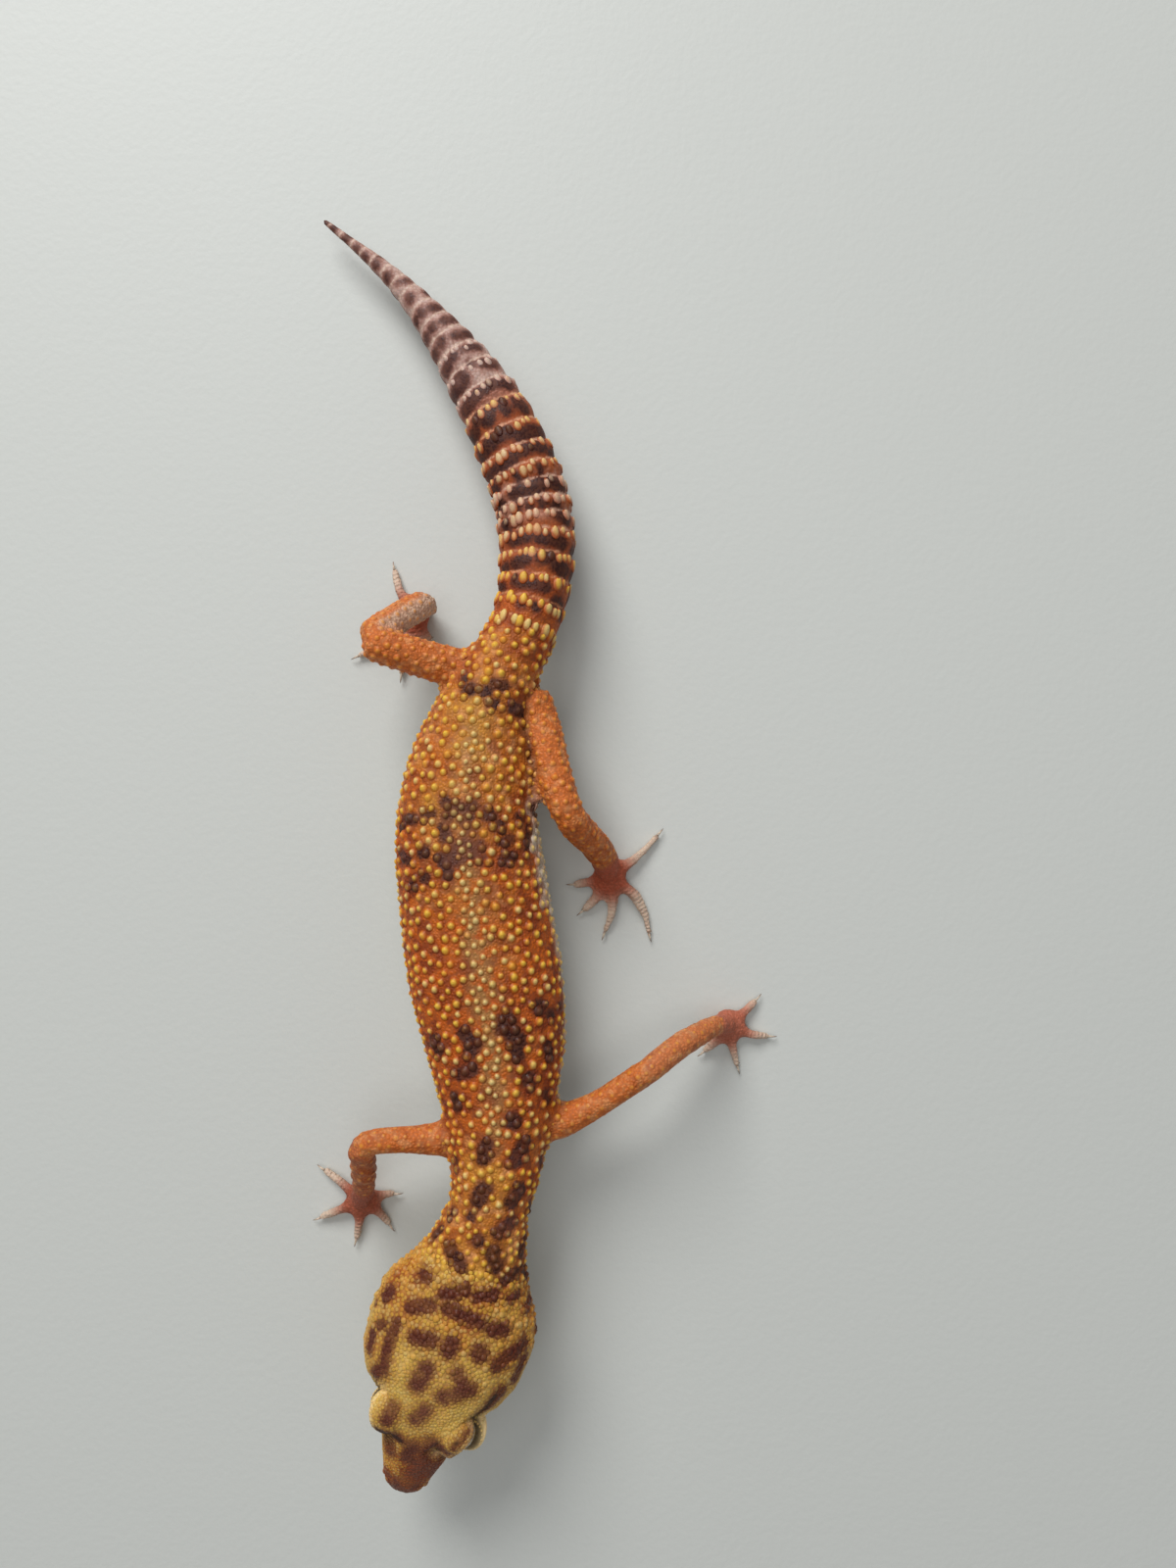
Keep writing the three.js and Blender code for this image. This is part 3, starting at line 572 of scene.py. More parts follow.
class EyeSocket:
    """Where one eye is and which way it looks."""

    def __init__(self, hand):
        low, high = (np.array(corner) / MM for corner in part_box(f"eye_{hand}"))
        self.side = SIDES[hand]
        self.upper_size, self.lower_size = LID_SIZES[hand]
        self.wrap = LID_WRAP[hand]
        self.centre = (low + high) / 2
        self.radius = float((high - low).max() / 2)
        _, along, out, rise = SPINE.axes(np.array(EYE_FROM))
        upwards = LOOK["up"] + self.side * LOOK["lean"]
        ahead = LOOK["ahead"] + self.side * LOOK["turn"]
        self.look = unit(out * self.side * LOOK["out"] - along * ahead + rise * upwards)
        self.back = unit(along - self.look * (along @ self.look))
        self.up = np.cross(self.look, self.back) * self.side
        if self.up @ rise < 0:
            self.up = -self.up

    def near(self, points, beyond=2.0):
        """Which points lie on the eye and its lids, up to some way beyond the eyeball."""
        return distance(points, self.centre) < self.radius + beyond

    def local(self, points):
        """Backwards, upwards and outwards from the eye's middle."""
        offset = points - self.centre
        return offset @ self.back, offset @ self.up, offset @ self.look

    def bend(self, x):
        """Height of the middle of the opening, which arches upwards between its corners."""
        return LID_ARCH * (1 - np.clip(x * x * 2.0, 0, 1)) - LID_ARCH / 2

    def gap(self, points, settings):
        """How far outside the edge of the lids each point is, measured over the eyeball."""
        back, up, out = self.local(points)
        size = np.maximum(distance(points, self.centre), 1e-6)
        x, y, z = back / size, up / size, out / size
        half_length = settings.opening_length / MM / self.radius
        half_height = settings.opening_height / MM / self.radius
        reach = np.hypot(x / half_length, (y - self.bend(x)) / half_height)
        apart = (reach - 1) * half_height * self.radius
        return np.where(z > 0, apart, FAR_FROM_LIDS)


# ---- Making the skin ----


def cad_solid(name):
    """Corners in millimetres that the triangles of a CAD node share, and the triangles."""
    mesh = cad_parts[name].data
    mesh.calc_loop_triangles()
    triangles = read(mesh.loop_triangles, "vertices", 3, np.int32)
    corners, shared = np.unique(np.round(coordinates(mesh) / MM, 3), axis=0, return_inverse=True)
    return corners, shared.ravel()[triangles]


def face_vectors(points, triangles):
    """A vector square to each triangle, as long as twice its area."""
    a, b, c = (points[triangles[:, k]] for k in range(3))
    return np.cross(b - a, c - a)


def triangle_areas(points, triangles):
    return np.linalg.norm(face_vectors(points, triangles), axis=1) / 2


def grown(points, triangles, by):
    """Moves the corners outwards so that each face moves by the same distance."""
    faces = face_vectors(points, triangles)
    area = np.linalg.norm(faces, axis=1)
    total = np.zeros_like(points)
    weight = np.zeros(len(points))
    for k in range(3):
        np.add.at(total, triangles[:, k], faces)
        np.add.at(weight, triangles[:, k], area)
    flatness = np.linalg.norm(total, axis=1) / np.maximum(weight, 1e-9)
    return points + unit(total) * (by / np.clip(flatness, 0.6, 1))[:, None]


def joined_flesh(settings):
    """One closed surface round all the flesh nodes and eyes, each grown by the overlap."""
    points, faces, count = [], [], 0
    for name in (*FLESH_NODES, "eye_right", "eye_left"):
        corners, triangles = cad_solid(name)
        points.append(grown(corners, triangles, settings.overlap / MM))
        faces.append(triangles + count)
        count += len(corners)
    mesh = bpy.data.meshes.new("flesh")
    mesh.from_pydata(np.vstack(points).tolist(), [], np.vstack(faces).tolist())
    lump = add_object("flesh", mesh)
    remesh = lump.modifiers.new("Remesh", "REMESH")
    remesh.mode = "VOXEL"
    remesh.voxel_size = settings.voxel / MM
    graph = bpy.context.evaluated_depsgraph_get()
    whole = bpy.data.meshes.new_from_object(lump.evaluated_get(graph))
    bpy.data.objects.remove(lump)
    bpy.data.meshes.remove(mesh)
    return whole


def refine(mesh, chosen):
    """Splits each chosen face in four."""
    work = bmesh.new()
    work.from_mesh(mesh)
    work.faces.ensure_lookup_table()
    edges = {edge for index in np.flatnonzero(chosen) for edge in work.faces[index].edges}
    bmesh.ops.subdivide_edges(work, edges=list(edges), cuts=1, use_grid_fill=True)
    work.to_mesh(mesh)
    work.free()


def face_centres(mesh):
    return read(mesh.polygons, "center", 3).astype(float)


def nearest_nodes(points):
    """Index of the flesh node nearest to each point, counted through the body and then the limbs."""
    draw = np.random.default_rng(SAMPLE_SEED)
    samples, owners = [], []
    for index, name in enumerate(FLESH_NODES):
        corners, triangles = cad_solid(name)
        a, b, c = (corners[triangles[:, k]] for k in range(3))
        area = triangle_areas(corners, triangles)
        count = int(area.sum() * SAMPLES)
        chosen = draw.choice(len(area), count, p=area / area.sum())
        u, w = draw.random((2, count, 1))
        flip = u + w > 1
        u, w = np.where(flip, 1 - u, u), np.where(flip, 1 - w, w)
        samples.append(a[chosen] + u * (b - a)[chosen] + w * (c - a)[chosen])
        owners.append(np.full(count, index))
    samples, owners = np.vstack(samples), np.concatenate(owners)
    tree = KDTree(len(samples))
    for index, sample in enumerate(samples):
        tree.insert(sample, index)
    tree.balance()
    return np.array([owners[tree.find(point)[1]] for point in points])


def region_masks(points, edges):
    """Soft masks of the head, tail, limbs and feet, the place along a limb, and which limb is nearest."""
    node = nearest_nodes(points)
    body = len(BODY_NODES)
    on_limb = node >= body
    limb_part = np.where(on_limb, (node - body) % 3, -1)
    masks = {
        "head": node <= BODY_NODES.index("lower_jaw"),
        "tail": (node >= BODY_NODES.index("tail_base")) & ~on_limb,
        "limb": on_limb,
        "foot": limb_part == 2,
    }
    hard = np.stack([*masks.values(), np.select([limb_part == k for k in range(3)], PART_PLACES, 0)], 1)
    soft = soften(hard.astype(float), edges, MASK_BLUR)
    made = dict(zip([*masks, "limb_place"], soft.T))
    made["limb_number"] = np.where(on_limb, (node - body) // 3, -1)
    made["hard_foot"] = masks["foot"]
    return made


def by_limb(masks, values):
    """The value of the nearest limb, out of one for each."""
    return np.array(values)[np.clip(masks["limb_number"].astype(int), 0, 3)]


def digit_places(points, masks):
    """Distance along the nearest toe from the middle of the palm, and 0 away from the toes."""
    made = np.zeros(len(points))
    for number, limb in enumerate(LIMB_NODES):
        mine = np.flatnonzero((masks["limb_number"] == number) & masks["hard_foot"])
        palm = palm_middle(limb)
        best = np.full(len(mine), np.inf)
        for digit in DIGITS:
            low, high = (np.array(corner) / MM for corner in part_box(f"claw_{limb}_{digit}"))
            axis = unit((low + high) / 2 - palm)
            offset = points[mine] - palm
            reach = offset @ axis
            apart = distance(offset, reach[:, None] * axis) + BEHIND_PALM * (reach < 0)
            closer = apart < best
            best = np.where(closer, apart, best)
            made[mine] = np.where(closer, np.maximum(reach, 0), made[mine])
    return made


def head_relief(place, out, rise):
    """Low forms of the head: ridges from the nostrils to the eyes, a furrow between them, and the crown."""
    top = ease(rise, 0.5, 2.5)
    ridge = bell(np.abs(out), 1.9 + 0.26 * place, 0.75) * ease(place, 2, 5) * (1 - ease(place, 9.5, 12))
    furrow = bell(out, 0, 1.3) * bell(place, 9, 4.5)
    crown = bell(out, 0, 2.4) * bell(place, 24, 6.0)
    temple = bell(np.abs(out), 6.2, 2.2) * bell(place, 22.5, 3.6)
    nape = bell(place, 34.5, 1.2) * ease(rise, -2, 2)
    return top * (0.3 * ridge - 0.3 * furrow - 0.18 * crown + 0.2 * temple) - 0.12 * nape


def mouth_height(points):
    """Height of each point above the line of the mouth."""
    front = SPINE.point(0, 0, MOUTH["rise"])
    corner = SPINE.point(MOUTH["corner"], 0, MOUTH["rise"] - MOUTH["drop"])
    back = unit(corner - front)
    across = unit(np.cross(back, UP))
    return (points - front) @ np.cross(across, back)


def lip_relief(points, place):
    """The groove of the closed mouth between two low lips."""
    height = mouth_height(points)
    fade = 1 - ease(place, MOUTH["corner"] - 0.6, MOUTH["corner"] + 1.2)
    groove = 0.46 * bell(height, 0, 0.2)
    lips = 0.1 * bell(np.abs(height), 0.75, 0.4)
    return fade * (lips - groove)


def nostril_relief(points):
    total = np.zeros(len(points))
    for side in SIDES.values():
        apart = distance(points, nostril(side))
        total += 0.16 * bell(apart, 0.95, 0.35) - 0.7 * bell(apart, 0, 0.45)
    return total


def ear_reach(place, out, rise):
    """Distance from the middle of the ear as a share of its size, and 1 on the sides of the head."""
    reach = np.hypot((place - EAR["from"]) / EAR["along"], (rise - EAR["rise"]) / EAR["height"])
    return reach, ease(np.abs(out), 7, 9)


def ear_relief(place, out, rise):
    """The ear openings: upright ovals with a low rim."""
    reach, beside = ear_reach(place, out, rise)
    return beside * (0.22 * bell(reach, 1.45, 0.35) - 1.1 * (1 - ease(reach, 0.4, 1.15)))


def ring_relief(place, out, rise, settings):
    """The tail's rings: each swells towards its hind edge, where it drops to the next one."""
    number, _, phase = ring_phase(place)
    girth = np.hypot(out, rise)
    angle = np.arctan2(out, rise)
    lobes = 0.14 * np.cos(angle * 9 + number * 2.1)
    swell = np.sin(math.pi * phase**1.25) ** 0.8
    fade = ease(place, TAIL_START, TAIL_START + 7) * ease(girth, 0.3, 2.6) * (1 - 0.5 * ease(place, 168, 184))
    top = 0.35 + 0.65 * ease(rise / np.maximum(girth, 1e-6), -0.8, 0.1)
    return settings.ring_height / MM * fade * top * (swell * (1 + lobes) - 0.72)


def rim_mask(place, out, rise):
    """1 on the pale scalloped edges where one ring of the tail meets the next."""
    number, length, phase = ring_phase(place)
    angle = np.arctan2(out, rise)
    scallop = 0.24 * np.abs(np.sin(angle * 4.5 + number * 1.3)) - 0.12
    after, before = (1 - phase) * length, phase * length
    edge = np.maximum(bell(after - 0.05 + scallop, 0, 0.32), bell(before - scallop, 0, 0.16))
    return edge * (place > TAIL_START + 1.5)


def fold_relief(points, place, out, rise, masks, settings):
    """Folds of loose skin: rings round the neck, creases behind the jaw, in the armpits and along the flanks."""
    height = settings.fold_height / MM
    angle = np.abs(np.arctan2(out, rise))
    low = ease(angle, 1.0, 1.7)
    neck = bell(place, 45, 7) * np.sin(place * 2.1 + waves(points, 9, 3) * 1.1) * low
    flank = bell(place, 84, 26) * ease(angle, 1.2, 1.5) * waves(points * (0.4, 0.25, 1.6), 2.4, 5) * 0.8
    root = masks["limb"] * (1 - masks["limb"]) * 4
    creases = root * waves(points, 2.6, 8) * 1.3
    body = 1 - masks["head"]
    parting = bell(masks["limb"], 0.5, 0.2) * np.where(masks["limb_number"] < 0, 0.4, 1) * by_limb(masks, PARTINGS)
    return height * (body * (1 - masks["tail"]) * (neck + flank) + creases) - parting


def side_relief(place, out, rise):
    """What makes the two sides differ: a fuller right temple, and a left flank drawn in."""
    angle = np.arctan2(out, rise)
    temple = 0.45 * bell(place, 19.0, 2.6) * bell(angle, -1.5, 0.6)
    flank = bell(angle, 1.5, 0.6) * (0.4 * bell(place, 55, 6) + 0.45 * bell(place, 84, 13))
    return temple - flank


def hip_hollow(points):
    middle = SPINE.point(HIP_HOLLOW["from"], HIP_HOLLOW["out"], HIP_HOLLOW["rise"])
    _, _, sideways, upwards = SPINE.axes(np.array(HIP_HOLLOW["from"]))
    depth = bell(distance(points, middle), 0, HIP_HOLLOW["reach"])[:, None]
    return depth * (HIP_HOLLOW["inwards"] * sideways + HIP_HOLLOW["down"] * upwards)


def shape_lids(points, socket, settings):
    """Draws the surface round an eye into two thick-rimmed lids with the eyeball showing between them."""
    apart = socket.gap(points, settings)
    size = distance(points, socket.centre)
    back, up, _ = socket.local(points)
    upper = ease((up + socket.wrap * back) / np.maximum(size, 1e-6), -0.25, 0.35)
    low, high = settings.lower_lid / MM * socket.lower_size, settings.upper_lid / MM * socket.upper_size
    thick = low + (high - low) * upper
    target = socket.radius + np.where(apart < 0, profile(LID_OPENING, apart), profile(LID_RIM, apart) * thick)
    share = (1 - ease(apart, 0.7, 2.1)) * ease(mouth_height(points), 0.2, 1.0)
    furrow = 0.16 * bell(apart, 1.75, 0.4)
    shift = ((target - size) * share - furrow) * socket.near(points, 3.2)
    return points + unit(points - socket.centre) * shift[:, None]


def lid_mask(points, settings):
    """1 on the pale rims of the lids."""
    mask = np.zeros(len(points))
    for socket in map(EyeSocket, SIDES):
        apart = socket.gap(points, settings)
        back, up, _ = socket.local(points)
        lower = 1 - ease(up + socket.wrap * back, -0.4, 0.9)
        upper = 0.75 * (1 - ease(apart, 0.5, 0.85))
        lower = lower * (1 - ease(apart, 0.8, 1.35))
        mask = np.maximum(mask, socket.near(points) * ease(apart, -0.1, 0.2) * np.maximum(lower, upper))
    return mask


def lid_edge_shade(points, settings):
    """1 on the dark edge where the lids meet the eye."""
    mask = np.zeros(len(points))
    for socket in map(EyeSocket, SIDES):
        mask = np.maximum(mask, socket.near(points) * (1 - ease(socket.gap(points, settings), 0.0, 0.3)))
    return mask


def recess_shade(points, place, out, rise):
    """1 in the line of the mouth, the nostrils and the ears."""
    fade = (1 - ease(place, MOUTH["corner"] - 0.2, MOUTH["corner"] + 1.4)) * (place < 26)
    mask = fade * bell(mouth_height(points), 0, 0.17)
    for side in SIDES.values():
        mask = np.maximum(mask, 1 - ease(distance(points, nostril(side)), 0.28, 0.62))
    reach, beside = ear_reach(place, out, rise)
    return np.maximum(mask, beside * (1 - ease(reach, 0.5, 1.05)))


def detail_faces(mesh, eye_settings):
    """Faces round the eyes, mouth and nostrils, which carry the finest forms."""
    middle = face_centres(mesh)
    place, _, _ = SPINE.locate(middle)
    chosen = (np.abs(mouth_height(middle)) < 0.75) & (place < MOUTH["corner"] + 1)
    for socket in map(EyeSocket, SIDES):
        chosen |= (socket.gap(middle, eye_settings) < 1.5) & socket.near(middle)
        chosen |= distance(middle, nostril(socket.side)) < 1.3
    return chosen


def refine_smoothly(mesh, chosen, rounds):
    refine(mesh, chosen)
    set_coordinates(mesh, relax(coordinates(mesh), edge_ends(mesh), rounds))


def surface_mesh(skin_settings, eye_settings):
    """The skin's mesh in millimetres, with its region masks."""
    mesh = joined_flesh(skin_settings)
    set_coordinates(mesh, relax(coordinates(mesh), edge_ends(mesh), FIRST_SMOOTHING))
    middle = face_centres(mesh)
    place, _, _ = SPINE.locate(middle)
    near_foot = np.min([distance(middle, palm_middle(limb)) for limb in PALMS], axis=0) < FOOT_REACH
    near_foot &= middle[:, 2] < FOOT_HEIGHT
    refine_smoothly(mesh, (place < HEAD_END) | near_foot, FINE_SMOOTHING)
    refine_smoothly(mesh, detail_faces(mesh, eye_settings), FINEST_SMOOTHING)
    return mesh, region_masks(coordinates(mesh), edge_ends(mesh))


def shape_skin(mesh, masks, skin, eyes):
    """Draws the skin in below the coat, then adds its folds, rings, hip, lids, lips, nostrils and ears."""
    points, normals, edges = coordinates(mesh), vertex_normals(mesh), edge_ends(mesh)
    depth = np.full(len(points), skin.depth_trunk)
    for name in ("tail", "head", "limb", "foot"):
        depth += (getattr(skin, f"depth_{name}") - depth) * np.clip(masks[name], 0, 1)
    points = points - normals * ((skin.overlap + depth) / MM)[:, None]
    points = relax(points, edges, 2)
    place, out, rise = SPINE.locate(points)
    head = masks["head"] * (1 - masks["limb"])
    relief = head * head_relief(place, out, rise)
    relief += masks["tail"] * ring_relief(place, out, rise, skin)
    relief += fold_relief(points, place, out, rise, masks, skin)
    relief += side_relief(place, out, rise) * (1 - masks["limb"])
    points = points + normals * relief[:, None]
    points = points - hip_hollow(points)
    for socket in map(EyeSocket, SIDES):
        points = shape_lids(points, socket, eyes)
        points = relax(points, edges, 2, socket.near(points, 2.5) * ease(socket.gap(points, eyes), 0.3, 0.6))
    set_coordinates(mesh, points)
    place, out, rise = SPINE.locate(points)
    hollows = lip_relief(points, place) + nostril_relief(points) + ear_relief(place, out, rise)
    points = points + vertex_normals(mesh) * (head * hollows)[:, None]
    sole = masks["foot"] * (1 - ease(points[:, 2], 0.1, 0.55))
    points[:, 2] = np.maximum(points[:, 2] * (1 - sole), 0)
    set_coordinates(mesh, points)


def mark_distances(points, place, surface):
    """How far inside the nearest dark mark each point is, and the same for the faint marks and the streaks."""
    made = []
    for groups in (MARK_SPREAD, [(FAINT_MARKS, 0.2)], [(EYE_STREAKS, 0.0)]):
        best = np.full(len(points), -MARK_REACH)
        for mark, spread in ((mark, spread) for marks, spread in groups for mark in marks):
            first, first_out, last, last_out, radius = mark
            start, end = lay_down(surface, first, first_out), lay_down(surface, last, last_out)
            low, high = min(first, last) - 2 * MARK_REACH, max(first, last) + 2 * MARK_REACH
            mine = np.flatnonzero((place > low) & (place < high))
            axis = end - start
            share = np.clip((points[mine] - start) @ axis / max(axis @ axis, 1e-9), 0, 1)[:, None]
            best[mine] = np.maximum(best[mine], radius + spread - distance(points[mine] - start, share * axis))
        made.append(best)
    return made


def lay_down(surface, place, out):
    """The point of the back at a distance from the snout and out to the left."""
    start = SPINE.point(place, out, ABOVE_BACK)
    _, _, _, upwards = SPINE.axes(np.array(float(place)))
    hit = surface.ray_cast(Vector(start), Vector(-upwards))[0]
    return np.array(hit) if hit is not None else SPINE.point(place, out, 0.0)


def side_marks(points, place, out, rise):
    """Smaller scattered marks low on the sides, where the drawn ones end."""
    angle = np.abs(np.arctan2(out, rise))
    band = np.maximum(bell(place, 71, 7), np.maximum(bell(place, 99, 6), 0.8 * bell(place, 30, 14)))
    blobs = waves(points, 3.2, 21) + 0.6 * waves(points, 1.9, 22)
    side = ease(angle, 1.0, 1.2) * (1 - ease(angle, 1.4, 1.6))
    return -MARK_REACH + side * band * (MARK_REACH + np.clip(blobs * 1.1 - 0.95, -MARK_REACH, 1.0))


def tail_side_marks(points, place, out, rise):
    """The tail's rings carry their dark patches on down the sides and under it."""
    number, length, phase = ring_phase(place)
    angle = np.arctan2(out, rise)
    cells = np.cos(angle * 5 + number * 2.4) + 0.5 * np.cos(angle * 8 - number * 1.7)
    height = np.abs(phase - 0.5) * length
    low = ease(np.abs(angle), 1.3, 1.6)
    inside = np.minimum(cells * 0.8 + 0.1, 0.85 - height)
    return np.where((place > TAIL_START + 2) & (low > 0.5), inside, -MARK_REACH)


def soft_marks(place, angle):
    """1 where the marks are pale and blurred: on the crown, the snout and the middle of the hind band."""
    crown = bell(place, 17, 7) * bell(angle, 0, 0.75)
    band = bell(place, 99, 5) * bell(angle, 0.06, 0.3)
    return np.maximum(crown, np.maximum(band, 0.85 * (1 - ease(place, 7, 11))))


def limb_marks(masks):
    """How dark the blotches of the forearms, shins, hands and feet are, as a distance inside a mark."""
    return -MARK_REACH + (MARK_REACH + by_limb(masks, BLOTCHES)) * ease(masks["limb_place"], 0.3, 0.56)


def paint_masks(mesh, masks, eyes):
    """What the colours follow at each vertex."""
    points = coordinates(mesh)
    place, out, rise = SPINE.locate(points)
    angle = np.abs(np.arctan2(out, rise))
    faces = [list(polygon.vertices) for polygon in mesh.polygons]
    bold, faint, streaks = mark_distances(points, place, BVHTree.FromPolygons(points.tolist(), faces))
    limb, tail = np.clip(masks["limb"], 0, 1), np.clip(masks["tail"], 0, 1)
    on_body = limb < 0.5
    bold = np.maximum(bold, side_marks(points, place, out, rise))
    bold = np.maximum(bold, tail_side_marks(points, place, out, rise))
    side = ease(angle, 0.35, 1.25)
    warm = profile(WARMTH, place) * (1 - side) + profile(WARMTH, place, 2) * side
    midline = bell(angle, 0, 0.27) * ease(place, 48, 60) * (1 - ease(place, 112, 120))
    belly_edge = profile(BELLY_EDGE, place) - 0.42 * bell(place, 97, 17) * (out > 0)
    pale = ease(angle + 0.08 * waves(points, 3.0, 31), belly_edge, belly_edge + 0.3)
    normals = vertex_normals(mesh)
    number = masks["limb_number"]
    fore = ((number == 0) | (number == 1)) * ease(masks["limb_place"], 0.2, 0.6)
    under = 1 - ease(normals[:, 2], -0.6, 0.1)
    shin = (number == 2) * bell(masks["limb_place"], 0.62, 0.2) * 0.75 * ease(normals[:, 0], 0.0, 0.7)
    # Painted shade in the creases where the left thigh and both arms meet the body.
    crease = 1.6 * bell(masks["limb"], 0.5, 0.24) * bell(place, 113, 9) * (out > 0)
    crease = np.maximum(crease, 0.6 * bell(masks["limb"], 0.5, 0.3) * bell(place, 61, 8))
    # Painted shade at the lids' edges and in the mouth's line, the nostrils and the ears.
    slit = np.maximum(lid_edge_shade(points, eyes), 0.85 * recess_shade(points, place, out, rise))
    return {
        "place": place,
        "angle": np.arctan2(out, rise) / math.pi,
        "mark": np.where(on_body, bold, limb_marks(masks)),
        "faint": np.where(on_body, faint, -MARK_REACH),
        "warm": warm,
        "midline": midline * (1 - limb),
        "pale": pale * (1 - limb) + limb * np.clip(0.08 * fore + 0.5 * under + shin, 0, 1),
        "limb": limb,
        "limb_place": masks["limb_place"],
        "foot": np.clip(masks["foot"], 0, 1),
        "head": np.clip(masks["head"], 0, 1) * (1 - limb),
        "soft": soft_marks(place, angle),
        "brown": profile(BROWNNESS, place) * tail,
        "grey": profile(GREYNESS, place) * tail,
        "white": profile(WHITENESS, place) * tail,
        "rim": rim_mask(place, out, rise) * tail,
        "lid": lid_mask(points, eyes),
        # Painted shade of the lids' edges, mouth, nostrils, ears and limb creases, with the own dark colour of the
        # eye streaks.
        "slit": np.maximum(slit, np.maximum(0.5 * crease, 0.85 * ease(streaks, -0.3, 0.25))),
        "toe": digit_places(points, masks),
        "limb_number": masks["limb_number"].astype(float),
    }


# ---- Shader helpers ----

# Linear colours of the thin lines and of the inside of the eye.
LINE_COLOURS = {
    # Painted shade at the lids' edges, in the mouth's line, nostrils, ears and limb creases; also the own colour of
    # the dark eye streaks.
    "slit": (0.012, 0.006, 0.004),
    # Painted shade in the creases between the skin's granules.
    "crease": (0.16, 0.05, 0.02),
    "iris_gold": (0.72, 0.5, 0.22),
    "pupil": (0.004, 0.003, 0.003),
    # Painted shade on the eyeball's edge, under the lids.
    "eyeball_shade": (0.02, 0.01, 0.008),
}
MARKING_INPUTS = (
    "Mark", "Faint", "Warm", "Midline", "Pale", "Limb", "Foot", "Brown", "Grey", "White", "Rim", "Lid", "Slit",
    "Head", "Soft",
)  # fmt: skip


def colour(name):
    """A colour of the settings or of the table above, with its alpha."""
    return (*(LINE_COLOURS.get(name) or getattr(bpy.context.scene.gecko_colours, name)), 1.0)


class Nodes:
    """Adds nodes to one tree. Each value may be a number or the socket that feeds it."""

    def __init__(self, tree):
        self.tree = tree
        self.given = {}
        self.place = None

    def add(self, kind, settings=None, inputs=None):
        made = self.tree.nodes.new(kind)
        for name, value in (settings or {}).items():
            setattr(made, name, value)
        self.feed(made, inputs or {})
        return made

    def feed(self, node, inputs):
        for name, value in inputs.items():
            if isinstance(value, bpy.types.NodeSocket):
                self.tree.links.new(value, node.inputs[name])
            else:
                node.inputs[name].default_value = value

    def math(self, operation, *values):
        return self.add("ShaderNodeMath", {"operation": operation}, dict(enumerate(values))).outputs[0]

    def times(self, first, second):
        return self.math("MULTIPLY", first, second)

    def times_plus(self, first, second, more):
        return self.math("MULTIPLY_ADD", first, second, more)

    def larger(self, first, second):
        return self.math("MAXIMUM", first, second)

    def rest(self, share):
        """What a share leaves of 1."""
        return self.math("SUBTRACT", 1.0, share)

    def step(self, value, low, high, bottom=0.0, top=1.0):
        """Goes smoothly from bottom to top while the value goes from low to high."""
        inputs = {"Value": value, "From Min": low, "From Max": high, "To Min": bottom, "To Max": top}
        return self.add("ShaderNodeMapRange", {"interpolation_type": "SMOOTHSTEP"}, inputs).outputs["Result"]

    def mix(self, share, first, second):
        """Mixes two colours, each a socket or the name of a colour."""
        first, second = (colour(value) if isinstance(value, str) else value for value in (first, second))
        return self.add("ShaderNodeMix", {"data_type": "RGBA"}, {0: share, 6: first, 7: second}).outputs[2]

    def layers(self, ground, *layers):
        """Lays colours over a ground one after another, each by its own share."""
        for share, over in layers:
            ground = self.mix(share, ground, over)
        return ground

    def attribute(self, name):
        return self.add("ShaderNodeAttribute", {"attribute_name": name}).outputs["Fac"]

    def millimetres(self):
        """The object's own coordinates in millimetres."""
        if self.place is None:
            place = self.add("ShaderNodeTexCoord").outputs["Object"]
            inputs = {0: place, "Scale": 1 / MM}
            self.place = self.add("ShaderNodeVectorMath", {"operation": "SCALE"}, inputs).outputs[0]
        return self.place

    def noise(self, scale, detail=2.0, vector=None):
        vector = self.millimetres() if vector is None else vector
        inputs = {"Vector": vector, "Scale": scale, "Detail": detail}
        return self.add("ShaderNodeTexNoise", None, inputs).outputs["Fac"]

    def bump(self, height, distance, before=None):
        inputs = {"Height": height, "Distance": distance, "Strength": 1.0}
        if before is not None:
            inputs["Normal"] = before
        return self.add("ShaderNodeBump", None, inputs).outputs["Normal"]

    def group(self, build, inputs):
        """Places a node group, which is built the first time."""
        return self.add("ShaderNodeGroup", {"node_tree": build()}, inputs).outputs

    def leave(self, **outputs):
        self.add("NodeGroupOutput", None, outputs)
        return self.tree


def shader_group(name, inputs, outputs):
    """Makes the decorated function, which fills a group's nodes, give the group of that name."""

    def decorate(fill):
        def build():
            if name in bpy.data.node_groups:
                return bpy.data.node_groups[name]
            nodes = Nodes(bpy.data.node_groups.new(name, "ShaderNodeTree"))
            for way, sockets in (("INPUT", inputs), ("OUTPUT", outputs)):
                for socket, kind in sockets.items():
                    nodes.tree.interface.new_socket(name=socket, in_out=way, socket_type=f"NodeSocket{kind}")
            nodes.given = nodes.add("NodeGroupInput").outputs
            return fill(nodes)

        build.__doc__ = fill.__doc__
        return build

    return decorate


